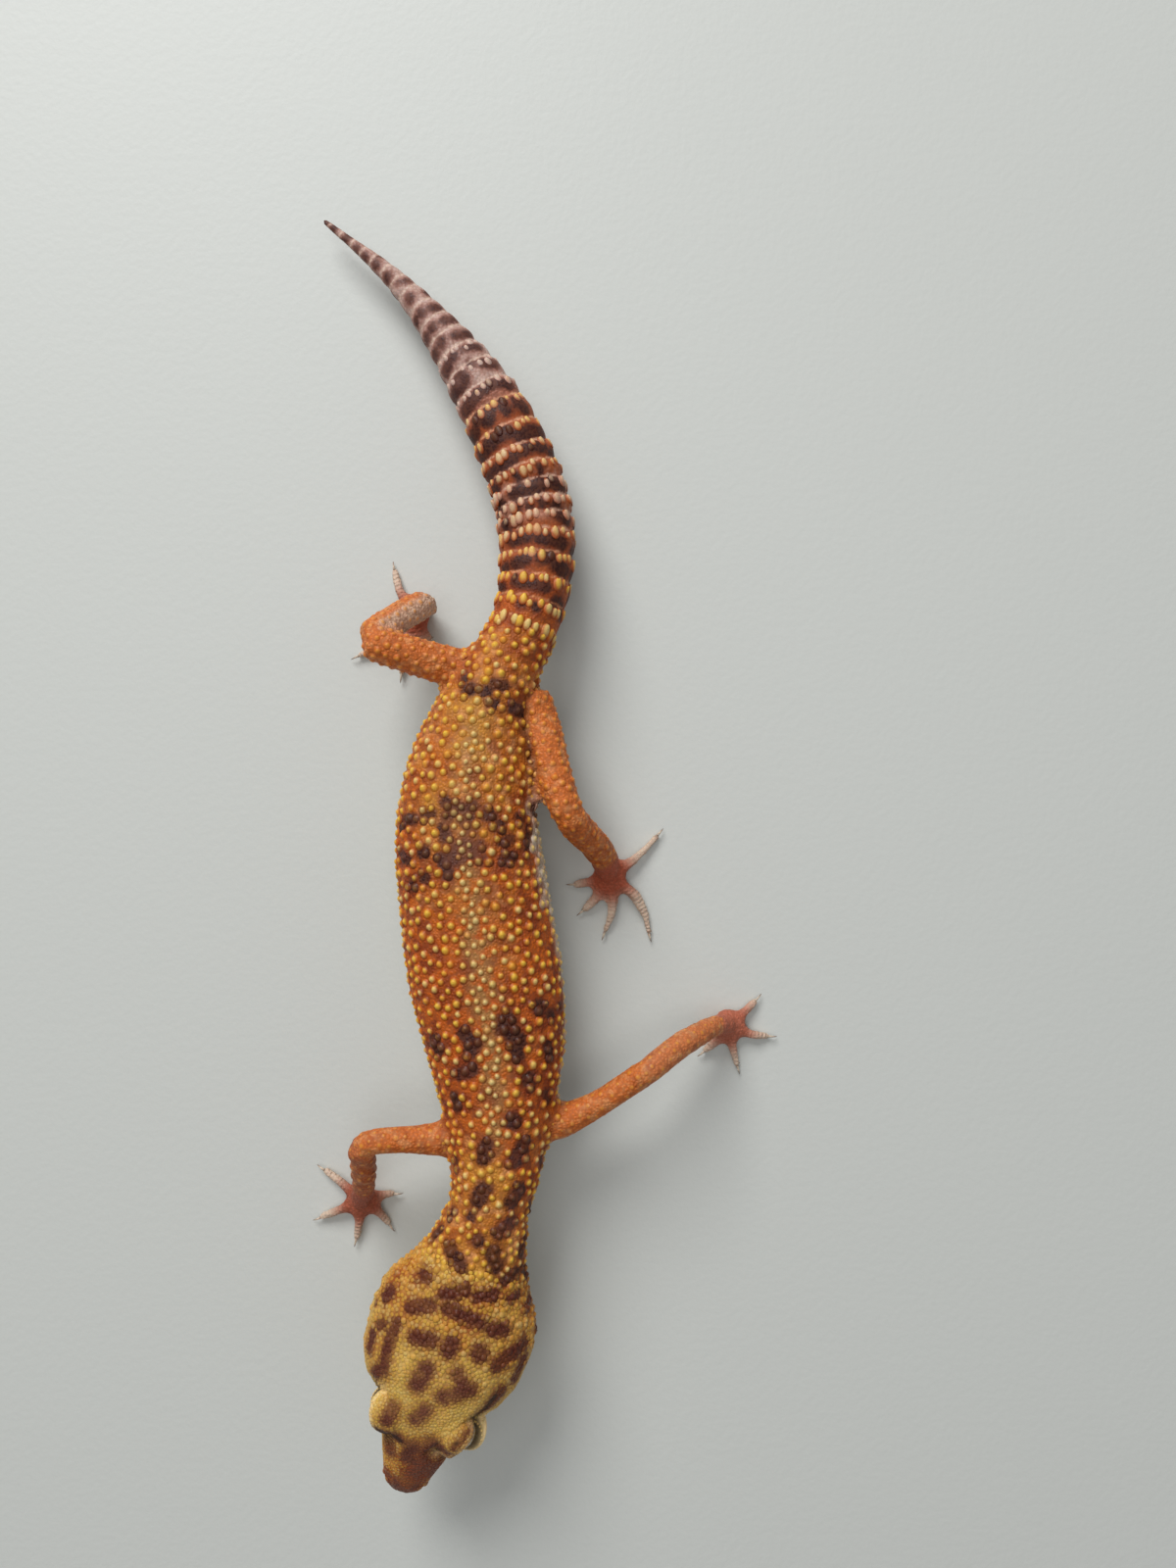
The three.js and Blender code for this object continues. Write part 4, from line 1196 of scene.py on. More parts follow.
def ground_colour(nodes, broad, middle, fine):
    """Colours of the animal without its dark marks, from yellow to orange with all that lies over them."""
    given = nodes.given
    limb = given["Limb"]
    warm = nodes.math("ADD", given["Warm"], nodes.times_plus(broad, 1.1, -0.55))
    straw = nodes.times(given["Head"], nodes.step(warm, 0.75, 0.05, 0.0, 0.72))
    deep = nodes.times(nodes.step(middle, 0.42, 0.62), nodes.step(warm, 0.15, 1.0))
    line = nodes.times(given["Midline"], nodes.step(middle, 0.34, 0.56))
    rosy = nodes.times(nodes.step(nodes.noise(0.42), 0.5, 0.66), nodes.step(warm, 1.1, 0.3))
    rosy = nodes.times(rosy, nodes.step(given["Head"], 0.0, 0.6, 0.7, 0.15))
    whitish = nodes.times(nodes.step(given["White"], 0.5, 0.95), nodes.step(middle, 0.4, 0.56))
    faint = nodes.step(nodes.times_plus(fine, 1.2, given["Faint"]), 0.3, 1.3)
    worn = nodes.times(limb, nodes.step(nodes.noise(0.75, 3.0), 0.47, 0.66))
    tanned = nodes.times(limb, nodes.step(middle, 0.5, 0.72))
    return nodes.layers(
        nodes.mix(nodes.step(warm, 0.0, 1.0), "yellow", "orange"),
        (straw, "straw"),
        (nodes.times(deep, 0.85), "rust"),
        (nodes.times(line, 0.85), "tan"),
        (rosy, "blush"),
        (given["Brown"], "tail_brown"),
        (nodes.times(whitish, 0.65), "tip_white"),
        (nodes.times(faint, 0.6), "rust"),
        (limb, "limb"),
        (nodes.times(worn, 0.55), "blush"),
        (nodes.times(tanned, 0.4), "rust"),
        (nodes.step(given["Foot"], 0.1, 0.9), "flesh"),
        (given["Grey"], "grey"),
        (given["Pale"], "pale"),
        (given["Lid"], nodes.mix(nodes.step(broad, 0.2, 0.5), "tip_cream", "lid")),
    )


def mark_colour(nodes, broad, middle, ground):
    """Colour of the dark marks: mauve on the back, umber on the head, and the ground seen through them."""
    given = nodes.given
    purple = nodes.larger(given["Grey"], nodes.step(broad, 0.5, 0.62))
    purple = nodes.times(purple, nodes.step(given["Warm"], 0.95, 0.55, 0.35, 1.0))
    purple = nodes.times(nodes.larger(purple, given["Grey"]), nodes.rest(given["Head"]))
    see_through = nodes.step(middle, 0.4, 0.72, 0.0, nodes.step(given["Soft"], 0.0, 1.0, 0.3, 0.62))
    return nodes.layers(
        nodes.mix(purple, "dark", "mauve"),
        (given["Head"], "umber"),
        (nodes.times(given["Soft"], 0.75), "taupe"),
        (nodes.times(see_through, nodes.rest(nodes.times(given["Brown"], 0.75))), ground),
    )


@shader_group("gecko_markings", dict.fromkeys(MARKING_INPUTS, "Float"), {"Color": "Color", "Dark": "Float"})
def markings_group(nodes):
    """Ground colours of the animal and its dark marks, for skin and coat alike."""
    given = nodes.given
    broad, middle, fine = nodes.noise(0.16), nodes.noise(0.55), nodes.noise(1.9, 3.0)
    edge = nodes.times_plus(fine, 1.0, given["Mark"])
    halo = nodes.step(edge, nodes.step(given["Head"], 0.0, 1.0, -0.5, -1.2), 0.6, 0.0, 0.6)
    ground = nodes.layers(ground_colour(nodes, broad, middle, fine), (halo, "rust"))
    soft, sharp = nodes.step(edge, -0.15, 1.35), nodes.step(edge, 0.12, 0.95)
    dark = nodes.times_plus(nodes.math("SUBTRACT", soft, sharp), given["Soft"], sharp)
    dark = nodes.times(dark, nodes.rest(given["Lid"]))
    dark = nodes.times(dark, nodes.step(given["Rim"], 0.25, 0.95, 1.0, 0.2))
    painted = nodes.layers(
        ground,
        (nodes.step(given["Rim"], 0.2, 0.95, 0.0, 0.75), nodes.mix(given["White"], "rim_tan", "tip_white")),
        (dark, mark_colour(nodes, broad, middle, ground)),
        # Painted shade of the lids' edges, mouth, nostrils, ears and limb creases, and the dark eye streaks.
        (nodes.times(given["Slit"], 0.9), "slit"),
    )
    return nodes.leave(Color=painted, Dark=dark)


@shader_group("gecko_granules", {"Size": "Float"}, {"Height": "Float", "Crease": "Float"})
def granules_group(nodes):
    """Small rounded scales with creases between them, of a size given in millimetres."""
    density = nodes.math("DIVIDE", 1.0, nodes.given["Size"])
    inputs = {"Vector": nodes.millimetres(), "Scale": density, "Smoothness": 0.35, "Randomness": 0.8}
    cells = nodes.add("ShaderNodeTexVoronoi", {"feature": "SMOOTH_F1"}, inputs).outputs["Distance"]
    height = nodes.times_plus(nodes.noise(5.0, 3.0), 0.25, nodes.step(cells, 0.62, 0.1))
    return nodes.leave(Height=height, Crease=nodes.step(cells, 0.42, 0.66))


TUBERCLE_INPUTS = dict.fromkeys(("Dark", "Tip", "Own", "Midline", "Pale", "Limb", "White", "Head"), "Float")


@shader_group("gecko_tubercle", {"Skin": "Color"} | TUBERCLE_INPUTS, {"Color": "Color"})
def tubercle_group(nodes):
    """Colour of a raised scale: the skin's own at its foot, and paler towards its tip."""
    given = nodes.given
    cream = nodes.larger(given["Pale"], given["Midline"])
    cream = nodes.larger(cream, nodes.step(given["Own"], 0.62, 0.95, 0.0, 0.8))
    amber = nodes.larger(given["Limb"], nodes.step(given["Own"], 0.3, 0.08, 0.0, 0.7))
    shaded = nodes.times(given["Dark"], nodes.step(given["White"], 0.3, 0.9, 1.0, 0.25))
    tip = nodes.layers(
        nodes.mix(cream, "tip_yellow", "tip_cream"),
        (nodes.times(amber, 0.8), "tip_orange"),
        (given["White"], "tip_white"),
        (shaded, nodes.mix(0.34, "mauve", "tan")),
    )
    muted = nodes.larger(nodes.times(given["Head"], 0.62), nodes.times(given["Limb"], 0.25))
    share = nodes.times(nodes.step(given["Tip"], 0.05, 0.9), nodes.rest(muted))
    share = nodes.times(share, nodes.step(shaded, 0.0, 1.0, 0.95, 0.4))
    return nodes.leave(Color=nodes.mix(share, given["Skin"], tip))


def new_material(name):
    """A material with its nodes, which are an output and one Principled shader to begin with."""
    made = bpy.data.materials.new(name)
    made.use_nodes = True
    made.node_tree.nodes.clear()
    nodes = Nodes(made.node_tree)
    shader = nodes.add("ShaderNodeBsdfPrincipled")
    nodes.add("ShaderNodeOutputMaterial", None, {"Surface": shader.outputs[0]})
    return made, nodes, shader


def living_material(name):
    """What skin and scales share: the markings, and a little light that goes through them."""
    made, nodes, shader = new_material(name)
    nodes.feed(shader, {
        "Subsurface Weight": 0.12,
        "Subsurface Radius": (1.0, 0.45, 0.25),
        "Subsurface Scale": 0.0006,
        "Specular IOR Level": 0.3,
    })
    nodes.given = {socket: nodes.attribute(socket.lower()) for socket in MARKING_INPUTS}
    return made, nodes, shader, nodes.group(markings_group, nodes.given)


def skin_material():
    made, nodes, shader, marked = living_material("gecko_skin")
    given = nodes.given
    size = nodes.step(given["Head"], 0.2, 0.8, 0.46, 0.62)
    grains = nodes.group(granules_group, {"Size": size})
    rough_share = nodes.rest(nodes.times(given["Lid"], 0.8))
    # Strength of the painted shade between the granules, lighter on the head.
    crease = nodes.times(nodes.step(given["Head"], 0.2, 0.8, 0.32, 0.14), rough_share)
    toe = nodes.attribute("toe")
    colours = nodes.layers(
        marked["Color"],
        # Painted shade in the creases between the granules.
        (nodes.times(grains["Crease"], crease), "crease"),
        (nodes.step(toe, 2.0, 6.0, 0.0, 0.78), "pale"),
    )
    tail_share = nodes.larger(given["Brown"], given["Grey"])
    height = nodes.times(nodes.times(grains["Height"], rough_share), nodes.step(tail_share, 0.0, 1.0, 1.0, 0.3))
    pads = nodes.math("SINE", nodes.times(toe, 2 * math.pi / TOE_PAD))
    pads = nodes.times(pads, nodes.step(toe, 1.8, 3.0))
    normal = nodes.bump(pads, 0.00003, nodes.bump(height, 0.000085))
    rough = nodes.step(grains["Height"], 0.2, 1.1, 0.62, 0.44)
    nodes.feed(shader, {"Base Color": colours, "Roughness": rough, "Normal": normal})
    return made


def coat_material(name, relief=0.00002):
    made, nodes, shader, marked = living_material(name)
    blurred = nodes.math("SUBTRACT", nodes.given["Soft"], nodes.given["Head"])
    given = {socket: nodes.given[socket] for socket in TUBERCLE_INPUTS if socket in nodes.given}
    given |= {socket: nodes.attribute(socket.lower()) for socket in ("Tip", "Own")}
    given |= {"Skin": marked["Color"], "Dark": nodes.times(marked["Dark"], nodes.step(blurred, 0.0, 1.0, 1.0, 0.2))}
    grain = nodes.noise(6.0, 3.0)
    mottled = nodes.mix(nodes.step(grain, 0.35, 0.75, 0.0, 0.22), nodes.group(tubercle_group, given)["Color"], "rust")
    rough = nodes.step(grain, 0.3, 0.7, 0.38, 0.52)
    nodes.feed(shader, {"Base Color": mottled, "Roughness": rough, "Normal": nodes.bump(grain, relief)})
    return made


# ---- Scales ----

# What each scale takes over from the skin under it.
CARRIED = (*(socket.lower() for socket in MARKING_INPUTS), "place", "angle", "limb_place", "limb_number")


class Roots:
    """Where scales grow: points, normals, and the skin's values there."""

    def __init__(self, points, normals, values):
        self.points, self.normals, self.values = points, normals, values

    def __len__(self):
        return len(self.points)

    def pick(self, index):
        return Roots(self.points[index], self.normals[index], self.values[index])

    def value(self, name):
        return self.values[:, CARRIED.index(name)]

    @property
    def place(self):
        return self.value("place")

    @property
    def aside(self):
        """How far round the body each root is, from 0 on top to 1 underneath."""
        return np.abs(self.value("angle"))


class Surface(Roots):
    """The finished skin, read back in millimetres for what grows on it."""

    def __init__(self):
        skin = bpy.data.objects["gecko_skin"].data
        values = np.stack([read_attribute(skin, name) for name in CARRIED], axis=1)
        super().__init__(coordinates(skin) / MM, vertex_normals(skin), values)
        skin.calc_loop_triangles()
        self.triangles = read(skin.loop_triangles, "vertices", 3, np.int32)
        self.tree = BVHTree.FromPolygons(self.points.tolist(), self.triangles.tolist())

    def roots(self, triangles, shares):
        """Points, normals and carried values at places inside triangles."""
        corners = self.triangles[triangles]
        blend = [(array[corners] * shares[:, :, None]).sum(1) for array in (self.points, self.normals, self.values)]
        return Roots(blend[0], unit(blend[1]), blend[2])

    def scatter(self, chance, gap, seed, most):
        """Roots where chance is above 0, each its own gap from the others, out of so many tries at most."""
        draw = np.random.default_rng(seed)
        weight = triangle_areas(self.points, self.triangles) * chance[self.triangles].mean(1)
        chosen = draw.choice(len(weight), most, p=weight / weight.sum())
        made = self.roots(chosen, draw.dirichlet((1, 1, 1), most))
        return made.pick(thinned(made.points, gap(made)))

    def roots_on(self, lines):
        """Roots where lines from inside the body leave it, and the numbers of the lines that do."""
        hits, leaving = [], []
        for number, (start, direction) in enumerate(lines):
            hit, _, index, _ = self.tree.ray_cast(Vector(start), Vector(direction))
            if hit is not None:
                hits.append((index, np.array(hit)))
                leaving.append(number)
        triangles = np.array([index for index, _ in hits])
        points = np.array([point for _, point in hits])
        corners = self.triangles[triangles]
        near = np.linalg.norm(self.points[corners] - points[:, None], axis=2)
        shares = 1 / np.maximum(near, 1e-3)
        made = self.roots(triangles, shares / shares.sum(1, keepdims=True))
        made.points = points
        return made, leaving


def thinned(points, gaps):
    """Indices of points kept so that each is its own gap away from those before it."""
    cells, kept = {}, []
    keys = np.floor(points / float(np.max(gaps))).astype(int)
    for index, (point, key, gap) in enumerate(zip(points, map(tuple, keys), gaps)):
        around = product(*((part - 1, part, part + 1) for part in key))
        near = [other for cell in around for other in cells.get(cell, ())]
        if near and np.min(((points[near] - point) ** 2).sum(1)) < gap * gap:
            continue
        cells.setdefault(key, []).append(index)
        kept.append(index)
    return np.array(kept, dtype=int)


def dome(sides, heights):
    """A closed rounded bump: rows of (radius, height) from its sunk foot to its tip, as shares of its size."""
    corners, faces = [], []
    for radius, height in heights[:-1]:
        for side in range(sides):
            angle = 2 * math.pi * side / sides
            corners.append((radius * math.cos(angle), radius * math.sin(angle), height))
    rows = len(heights) - 1
    for row in range(rows - 1):
        for side in range(sides):
            after = (side + 1) % sides
            low, high = row * sides, (row + 1) * sides
            faces.append((low + side, low + after, high + after))
            faces.append((low + side, high + after, high + side))
    top, foot = len(corners), len(corners) + 1
    corners.append((0, 0, heights[-1][1]))
    corners.append((0, 0, heights[0][1]))
    for side in range(sides):
        after = (side + 1) % sides
        faces.append(((rows - 1) * sides + side, (rows - 1) * sides + after, top))
        faces.append((after, side, foot))
    return np.array(corners), np.array(faces)


TUBERCLE = dome(11, [(1.5, -0.45), (1.38, 0.0), (0.98, 0.27), (0.63, 0.64), (0.3, 0.92), (0, 1.0)])
PEG = dome(12, [(1.5, -0.45), (1.4, 0.0), (1.12, 0.24), (0.82, 0.6), (0.44, 0.9), (0, 1.0)])
PLATE = dome(12, [(1.0, -0.5), (1.02, 0.15), (0.93, 0.62), (0.6, 0.92), (0, 1.0)])
GRANULE = dome(8, [(1.0, -0.6), (1.03, 0.1), (0.74, 0.74), (0, 1.0)])


def spread_on_skin(roots):
    """Where each root lies on a flat unwrap of the skin: the body above, the four limbs side by side below."""
    limb = roots.value("limb_number")
    along = 0.01 + 0.98 * np.clip(roots.place / SPINE.length, 0, 1)
    body = np.stack([along, 0.34 + 0.32 * (1 + np.clip(roots.value("angle"), -1, 1))], axis=1)
    turn = np.arctan2(roots.normals[:, 1], roots.normals[:, 2]) / math.pi
    along = 0.01 + 0.25 * np.clip(limb, 0, 3) + 0.22 * np.clip(roots.value("limb_place"), 0, 1)
    legs = np.stack([along, 0.01 + 0.15 * (1 + turn)], axis=1)
    return np.where((limb >= 0)[:, None], legs, body)


WOBBLE = 0.09  # how uneven the scales are
SPIN = 0.35  # how far they are turned at random, in radians


def backwards(roots):
    """Direction over the surface from the snout towards the tail, at each root."""
    _, along, _, _ = SPINE.axes(roots.place)
    return unit(along - roots.normals * (along * roots.normals).sum(1, keepdims=True))


def grow_scales(name, form, roots, length, width, height, lean, material, slot, seed):
    """Joins one scale for each root into a single piece. lean tips a scale backwards by a share of its height."""
    template, faces = form
    draw = np.random.default_rng(seed)
    count, corners = len(roots), len(template)
    along = backwards(roots)
    across = np.cross(roots.normals, along)
    wobble = 1 + WOBBLE * draw.normal(size=(count, corners, 1)) * (template[None, :, 2:] > 0)
    spin = draw.uniform(-SPIN, SPIN, count)[:, None]
    x, y, z = template.T[:, None]
    x, y = x * np.cos(spin) - y * np.sin(spin), x * np.sin(spin) + y * np.cos(spin)
    length, width, height = (np.broadcast_to(size, count)[:, None, None] for size in (length, width, height))
    shift = height * lean * np.clip(z, 0, 1)[..., None] ** 1.5
    points = roots.points[:, None] + along[:, None] * (x[..., None] * length * wobble + shift)
    points = points + across[:, None] * (y[..., None] * width * wobble)
    points = points + roots.normals[:, None] * (z[..., None] * height)
    points = points.reshape(-1, 3)
    points[:, 2] = np.maximum(points[:, 2], 0.0)
    joined = (faces[None] + (np.arange(count) * corners)[:, None, None]).reshape(-1, 3)
    mesh = bpy.data.meshes.new(name)
    mesh.from_pydata((points * MM).tolist(), [], joined.tolist())
    for column, key in enumerate(CARRIED):
        write_attribute(mesh, key, np.repeat(roots.values[:, column], corners))
    write_attribute(mesh, "tip", np.tile(np.clip(template[:, 2], 0, 1), count))
    write_attribute(mesh, "own", np.repeat(draw.random(count), corners))
    flat = spread_on_skin(roots)[:, None] + template[None, :, :2] / np.abs(template[:, :2]).max() * BAKE_PATCH
    flat = flat.reshape(-1, 2).astype(np.float32)
    layer = mesh.uv_layers.new(name="OFBake")
    layer.data.foreach_set("uv", flat[joined.ravel()].ravel())
    finish_piece(name, mesh, material, slot)


class GeckoMakeSkin(bpy.types.Operator):
    """One skin over all the flesh, with its folds, rings, lips, lids, nostrils and ears"""

    bl_idname = "gecko.make_skin"
    bl_label = "Skin"

    def execute(self, context):
        scene = context.scene
        mesh, masks = surface_mesh(scene.gecko_skin, scene.gecko_eyes)
        shape_skin(mesh, masks, scene.gecko_skin, scene.gecko_eyes)
        for name, values in paint_masks(mesh, masks, scene.gecko_eyes).items():
            write_attribute(mesh, name, values)
        set_coordinates(mesh, coordinates(mesh) * MM)
        mesh.name = "gecko_skin"
        finish_piece("gecko_skin", mesh, skin_material(), "body_skin", *FLESH_NODES)
        return {"FINISHED"}


class GeckoMakeTrunkScales(bpy.types.Operator):
    """Tubercles of the neck, back and flanks"""

    bl_idname = "gecko.make_trunk_scales"
    bl_label = "Trunk tubercles"

    def execute(self, context):
        coat = context.scene.gecko_coat
        roots = self.spread(Surface(), coat)
        draw = np.random.default_rng(coat.seed + 1)
        size = draw.uniform(0.82, 1.12, len(roots))
        size *= 0.8 + 0.2 * ease(roots.place, 36, 58) - 0.16 * roots.value("midline")
        side = ease(roots.aside, 0.5, 0.64)
        radius = coat.tubercle_radius / MM * size * (1 - 0.25 * side)
        height = coat.tubercle_height / MM * size * (1 - 0.45 * side)
        material = coat_material("gecko_trunk_scales")
        grow_scales(
            "trunk_tubercles", TUBERCLE, roots, radius, radius * 0.95, height, 0.25, material, "body_skin", 3
        )
        return {"FINISHED"}

    def spread(self, surface, coat):
        """Roots on the nape, back and flanks, closer together on the neck, along the middle and low down."""
        place = surface.place
        free = (surface.value("limb") < 0.35) & (place > TRUNK_COAT["from"]) & (place < TRUNK_COAT["to"])
        chance = free * ease(TRUNK_COAT["aside"] - surface.aside, 0.0, 0.04)

        def gap(roots):
            near_head = 0.22 * (1 - ease(roots.place, 36, 56))
            middle = 0.2 * roots.value("midline")
            return coat.tubercle_gap / MM * (1 - near_head - middle) * (1 - 0.18 * ease(roots.aside, 0.42, 0.55))

        return surface.scatter(chance, gap, coat.seed, TRUNK_COAT["tries"])


class GeckoMakeTailScales(bpy.types.Operator):
    """Rows of tubercles on the hind edges of the tail's rings"""

    bl_idname = "gecko.make_tail_scales"
    bl_label = "Tail tubercles"

    def execute(self, context):
        draw = np.random.default_rng(context.scene.gecko_coat.seed + 2)
        roots, _ = Surface().roots_on(self.ring_lines(draw))
        # Some are left out inside the dark marks, and most are pale even there.
        roots = roots.pick((roots.value("mark") < 0.75) | (draw.random(len(roots)) < 0.55))
        light = draw.random(len(roots)) < np.where(roots.value("mark") < 0.4, 0.95, 0.6)
        roots.values[light, CARRIED.index("mark")] = -MARK_REACH
        size = profile(TAIL_COAT_SIZE, roots.place) * draw.uniform(0.72, 1.25, len(roots))
        size *= 1 - 0.2 * ease(roots.aside, 0.5, 0.7)
        length = 0.58 * size * draw.uniform(0.9, 1.25, len(roots))
        material = coat_material("gecko_tail_scales")
        grow_scales(
            "tail_tubercles", PEG, roots, length, 0.46 * size, 0.34 * size, 1.3, material, "tail_skin", 4
        )
        return {"FINISHED"}

    def ring_lines(self, draw):
        """Lines out of the tail through the hind edge of each ring, from side to side over the top."""
        for number, edge in enumerate(RING_EDGES[(RING_EDGES > TAIL_START) & (RING_EDGES < TAIL_COAT_END)]):
            centre, along, out, rise = SPINE.axes(np.array(edge - TAIL_COAT["before_edge"]))
            count = round(profile(TAIL_GIRTH, edge) * 2 * math.pi * TAIL_COAT["round"] / TAIL_COAT["gap"])
            for step in range(count):
                share = (step + 0.5 * (number % 2) + draw.uniform(-0.3, 0.3)) / (count - 0.5) * 2 - 1
                turn = share * TAIL_COAT["aside"] * math.pi
                yield centre + along * draw.uniform(-0.6, 0.4), out * math.sin(turn) + rise * math.cos(turn)


class GeckoMakeHeadScales(bpy.types.Operator):
    """Granules of the face and crown, and the larger tubercles at the back of the head"""

    bl_idname = "gecko.make_head_scales"
    bl_label = "Head scales"

    def execute(self, context):
        coat = context.scene.gecko_coat
        surface = Surface()
        lips = (np.abs(mouth_height(surface.points)) < 0.95) & (surface.place < MOUTH["corner"] - 0.5)
        # Granules keep off the painted shade of the lids' edges, mouth, nostrils and ears, and off the dark eye
        # streaks.
        clear = (surface.value("slit") < 0.15) & (surface.value("lid") < 0.8) & ~lips
        clear &= (surface.place < HEAD_COAT["to"]) & (surface.aside < HEAD_COAT["aside"])
        clear &= surface.value("limb") < 0.3

        def gap(roots):
            back = ease(roots.place, 16, 28) * (1 - ease(roots.aside, 0.45, 0.6))
            return coat.granule_gap / MM * (0.95 + 0.35 * back)

        roots = surface.scatter(clear.astype(float), gap, coat.seed + 3, HEAD_COAT["tries"])
        draw = np.random.default_rng(coat.seed + 4)
        spacing = gap(roots)
        size = spacing * draw.uniform(0.6, 0.7, len(roots))
        large = draw.random(len(roots)) < 0.15 * ease(roots.place, 21, 30)
        height = spacing * np.where(large, 0.4, 0.11) * draw.uniform(0.7, 1.2, len(roots))
        size = np.where(large, size * 1.45, size)
        material = coat_material("gecko_head_scales", 0.000012)
        front = roots.place < FACE_END
        for name, mine in (("face_granules", front), ("crown_granules", ~front)):
            width = size[mine]
            grow_scales(name, GRANULE, roots.pick(mine), width, width, height[mine], 0.1, material, "head_skin", 5)
        return {"FINISHED"}


class GeckoMakeLipScales(bpy.types.Operator):
    """The plates along both lips and over the front of the snout"""

    bl_idname = "gecko.make_lip_scales"
    bl_label = "Lip plates"

    def execute(self, context):
        lines, sizes = [], []
        for height, step, length in LIP_ROWS:
            for start, direction, share in self.lip_lines(height, step):
                lines.append((start, direction))
                sizes.append(length * share)
        roots, leaving = Surface().roots_on(lines)
        sizes = np.array(sizes)[leaving]
        width = np.where(sizes < SHORT_PLATE, 0.3, 0.33)
        material = coat_material("gecko_lip_scales", 0.000012)
        grow_scales("lip_plates", PLATE, roots, sizes, width, 0.11, 0.0, material, "head_skin", 8)
        return {"FINISHED"}

    def lip_lines(self, height, step):
        """Lines out of the head at a height above the mouth, and how large a plate is there."""
        corner, front = MOUTH["corner"], LIP_TURN["from"]
        for place in np.arange(step * 0.5, corner - 1.0, step):
            _, along, out, rise = SPINE.axes(np.array(float(place)))
            middle = SPINE.point(max(place, front), 0.0, MOUTH["rise"] - MOUTH["drop"] * place / corner)
            turn = max(1 - place / front, 0.0) * LIP_TURN["angle"]
            for side in SIDES.values():
                direction = out * side * math.cos(turn) - along * math.sin(turn)
                yield middle + rise * height, direction, 1 - 0.012 * place


class GeckoMakeLidScales(bpy.types.Operator):
    """The fringe of small scales round each eye's opening"""

    bl_idname = "gecko.make_lid_scales"
    bl_label = "Lid fringe"

    def execute(self, context):
        roots, _ = Surface().roots_on(self.rim_lines(context.scene.gecko_eyes))
        # The fringe scales keep a little of the painted shade at the lids' edges.
        roots.values[:, CARRIED.index("slit")] *= 0.3
        material = coat_material("gecko_lid_scales", 0.00001)
        grow_scales("lid_fringe", GRANULE, roots, 0.17, 0.15, 0.1, 0.0, material, "head_skin", 9)
        return {"FINISHED"}

    def rim_lines(self, settings):
        """Lines out of each eye's middle, just outside the edge of its opening."""
        for socket in map(EyeSocket, SIDES):
            half_length = settings.opening_length / MM / socket.radius * 1.03
            half_height = settings.opening_height / MM / socket.radius * 1.2
            for step in range(FRINGE_SCALES):
                turn = 2 * math.pi * (step + 0.5) / FRINGE_SCALES
                x = half_length * math.cos(turn)
                y = socket.bend(x) + half_height * math.sin(turn)
                ahead = math.sqrt(max(1 - x * x - y * y, 0.0))
                yield socket.centre, socket.back * x + socket.up * y + socket.look * ahead


class GeckoMakeLimbScales(bpy.types.Operator):
    """Flat tubercles of the arms and legs"""

    bl_idname = "gecko.make_limb_scales"
    bl_label = "Limb tubercles"

    def execute(self, context):
        coat = context.scene.gecko_coat
        surface = Surface()
        limb, foot = surface.value("limb"), surface.value("foot")
        chance = (limb > 0.6) * (foot < 0.25) * ease(surface.normals[:, 2], -0.35, 0.1)
        usual = coat.limb_gap / MM
        roots = surface.scatter(chance, lambda made: np.full(len(made), usual), coat.seed + 5, LIMB_TRIES)
        draw = np.random.default_rng(coat.seed + 6)
        hind = ease(roots.value("limb_number"), 1.2, 1.8) * (1 - 0.5 * ease(roots.value("limb_place"), 0.3, 0.6))
        size = usual * draw.uniform(0.24, 0.38, len(roots)) * (0.72 + 0.24 * hind)
        material = coat_material("gecko_limb_scales")
        height = size * (0.2 + 0.42 * hind)
        grow_scales("limb_tubercles", TUBERCLE, roots, size, size, height, 0.2, material, "limb_skin", 6)
        return {"FINISHED"}


class GeckoMakeEyes(bpy.types.Operator):
    """Eyeballs with a gold iris and an upright slit"""

    bl_idname = "gecko.make_eyes"
    bl_label = "Eyes"

    def execute(self, context):
        material = eye_material(context.scene.gecko_eyes)
        for hand in SIDES:
            self.make_eye(hand, material)
        return {"FINISHED"}

    def make_eye(self, hand, material):
        socket = EyeSocket(hand)
        form = bmesh.new()
        bmesh.ops.create_uvsphere(form, u_segments=EYE_SIDES, v_segments=EYE_RINGS, radius=1.0)
        mesh = bpy.data.meshes.new(f"eyeball_{hand}")
        form.to_mesh(mesh)
        form.free()
        local = coordinates(mesh)
        tilt = np.arccos(np.clip(local[:, 2], -1, 1))
        radius = socket.radius * (1 + CORNEA * bell(tilt, 0, 0.75))
        axes = np.stack([socket.back, socket.up, socket.look])
        set_coordinates(mesh, (socket.centre + (local * radius[:, None]) @ axes) * MM)
        write_attribute(mesh, "across", local[:, 0])
        write_attribute(mesh, "upright", local[:, 1])
        write_attribute(mesh, "tilt", tilt)
        if np.linalg.det(axes) < 0:
            mesh.flip_normals()
        finish_piece(f"eyeball_{hand}", mesh, material, "eye", f"eye_{hand}")


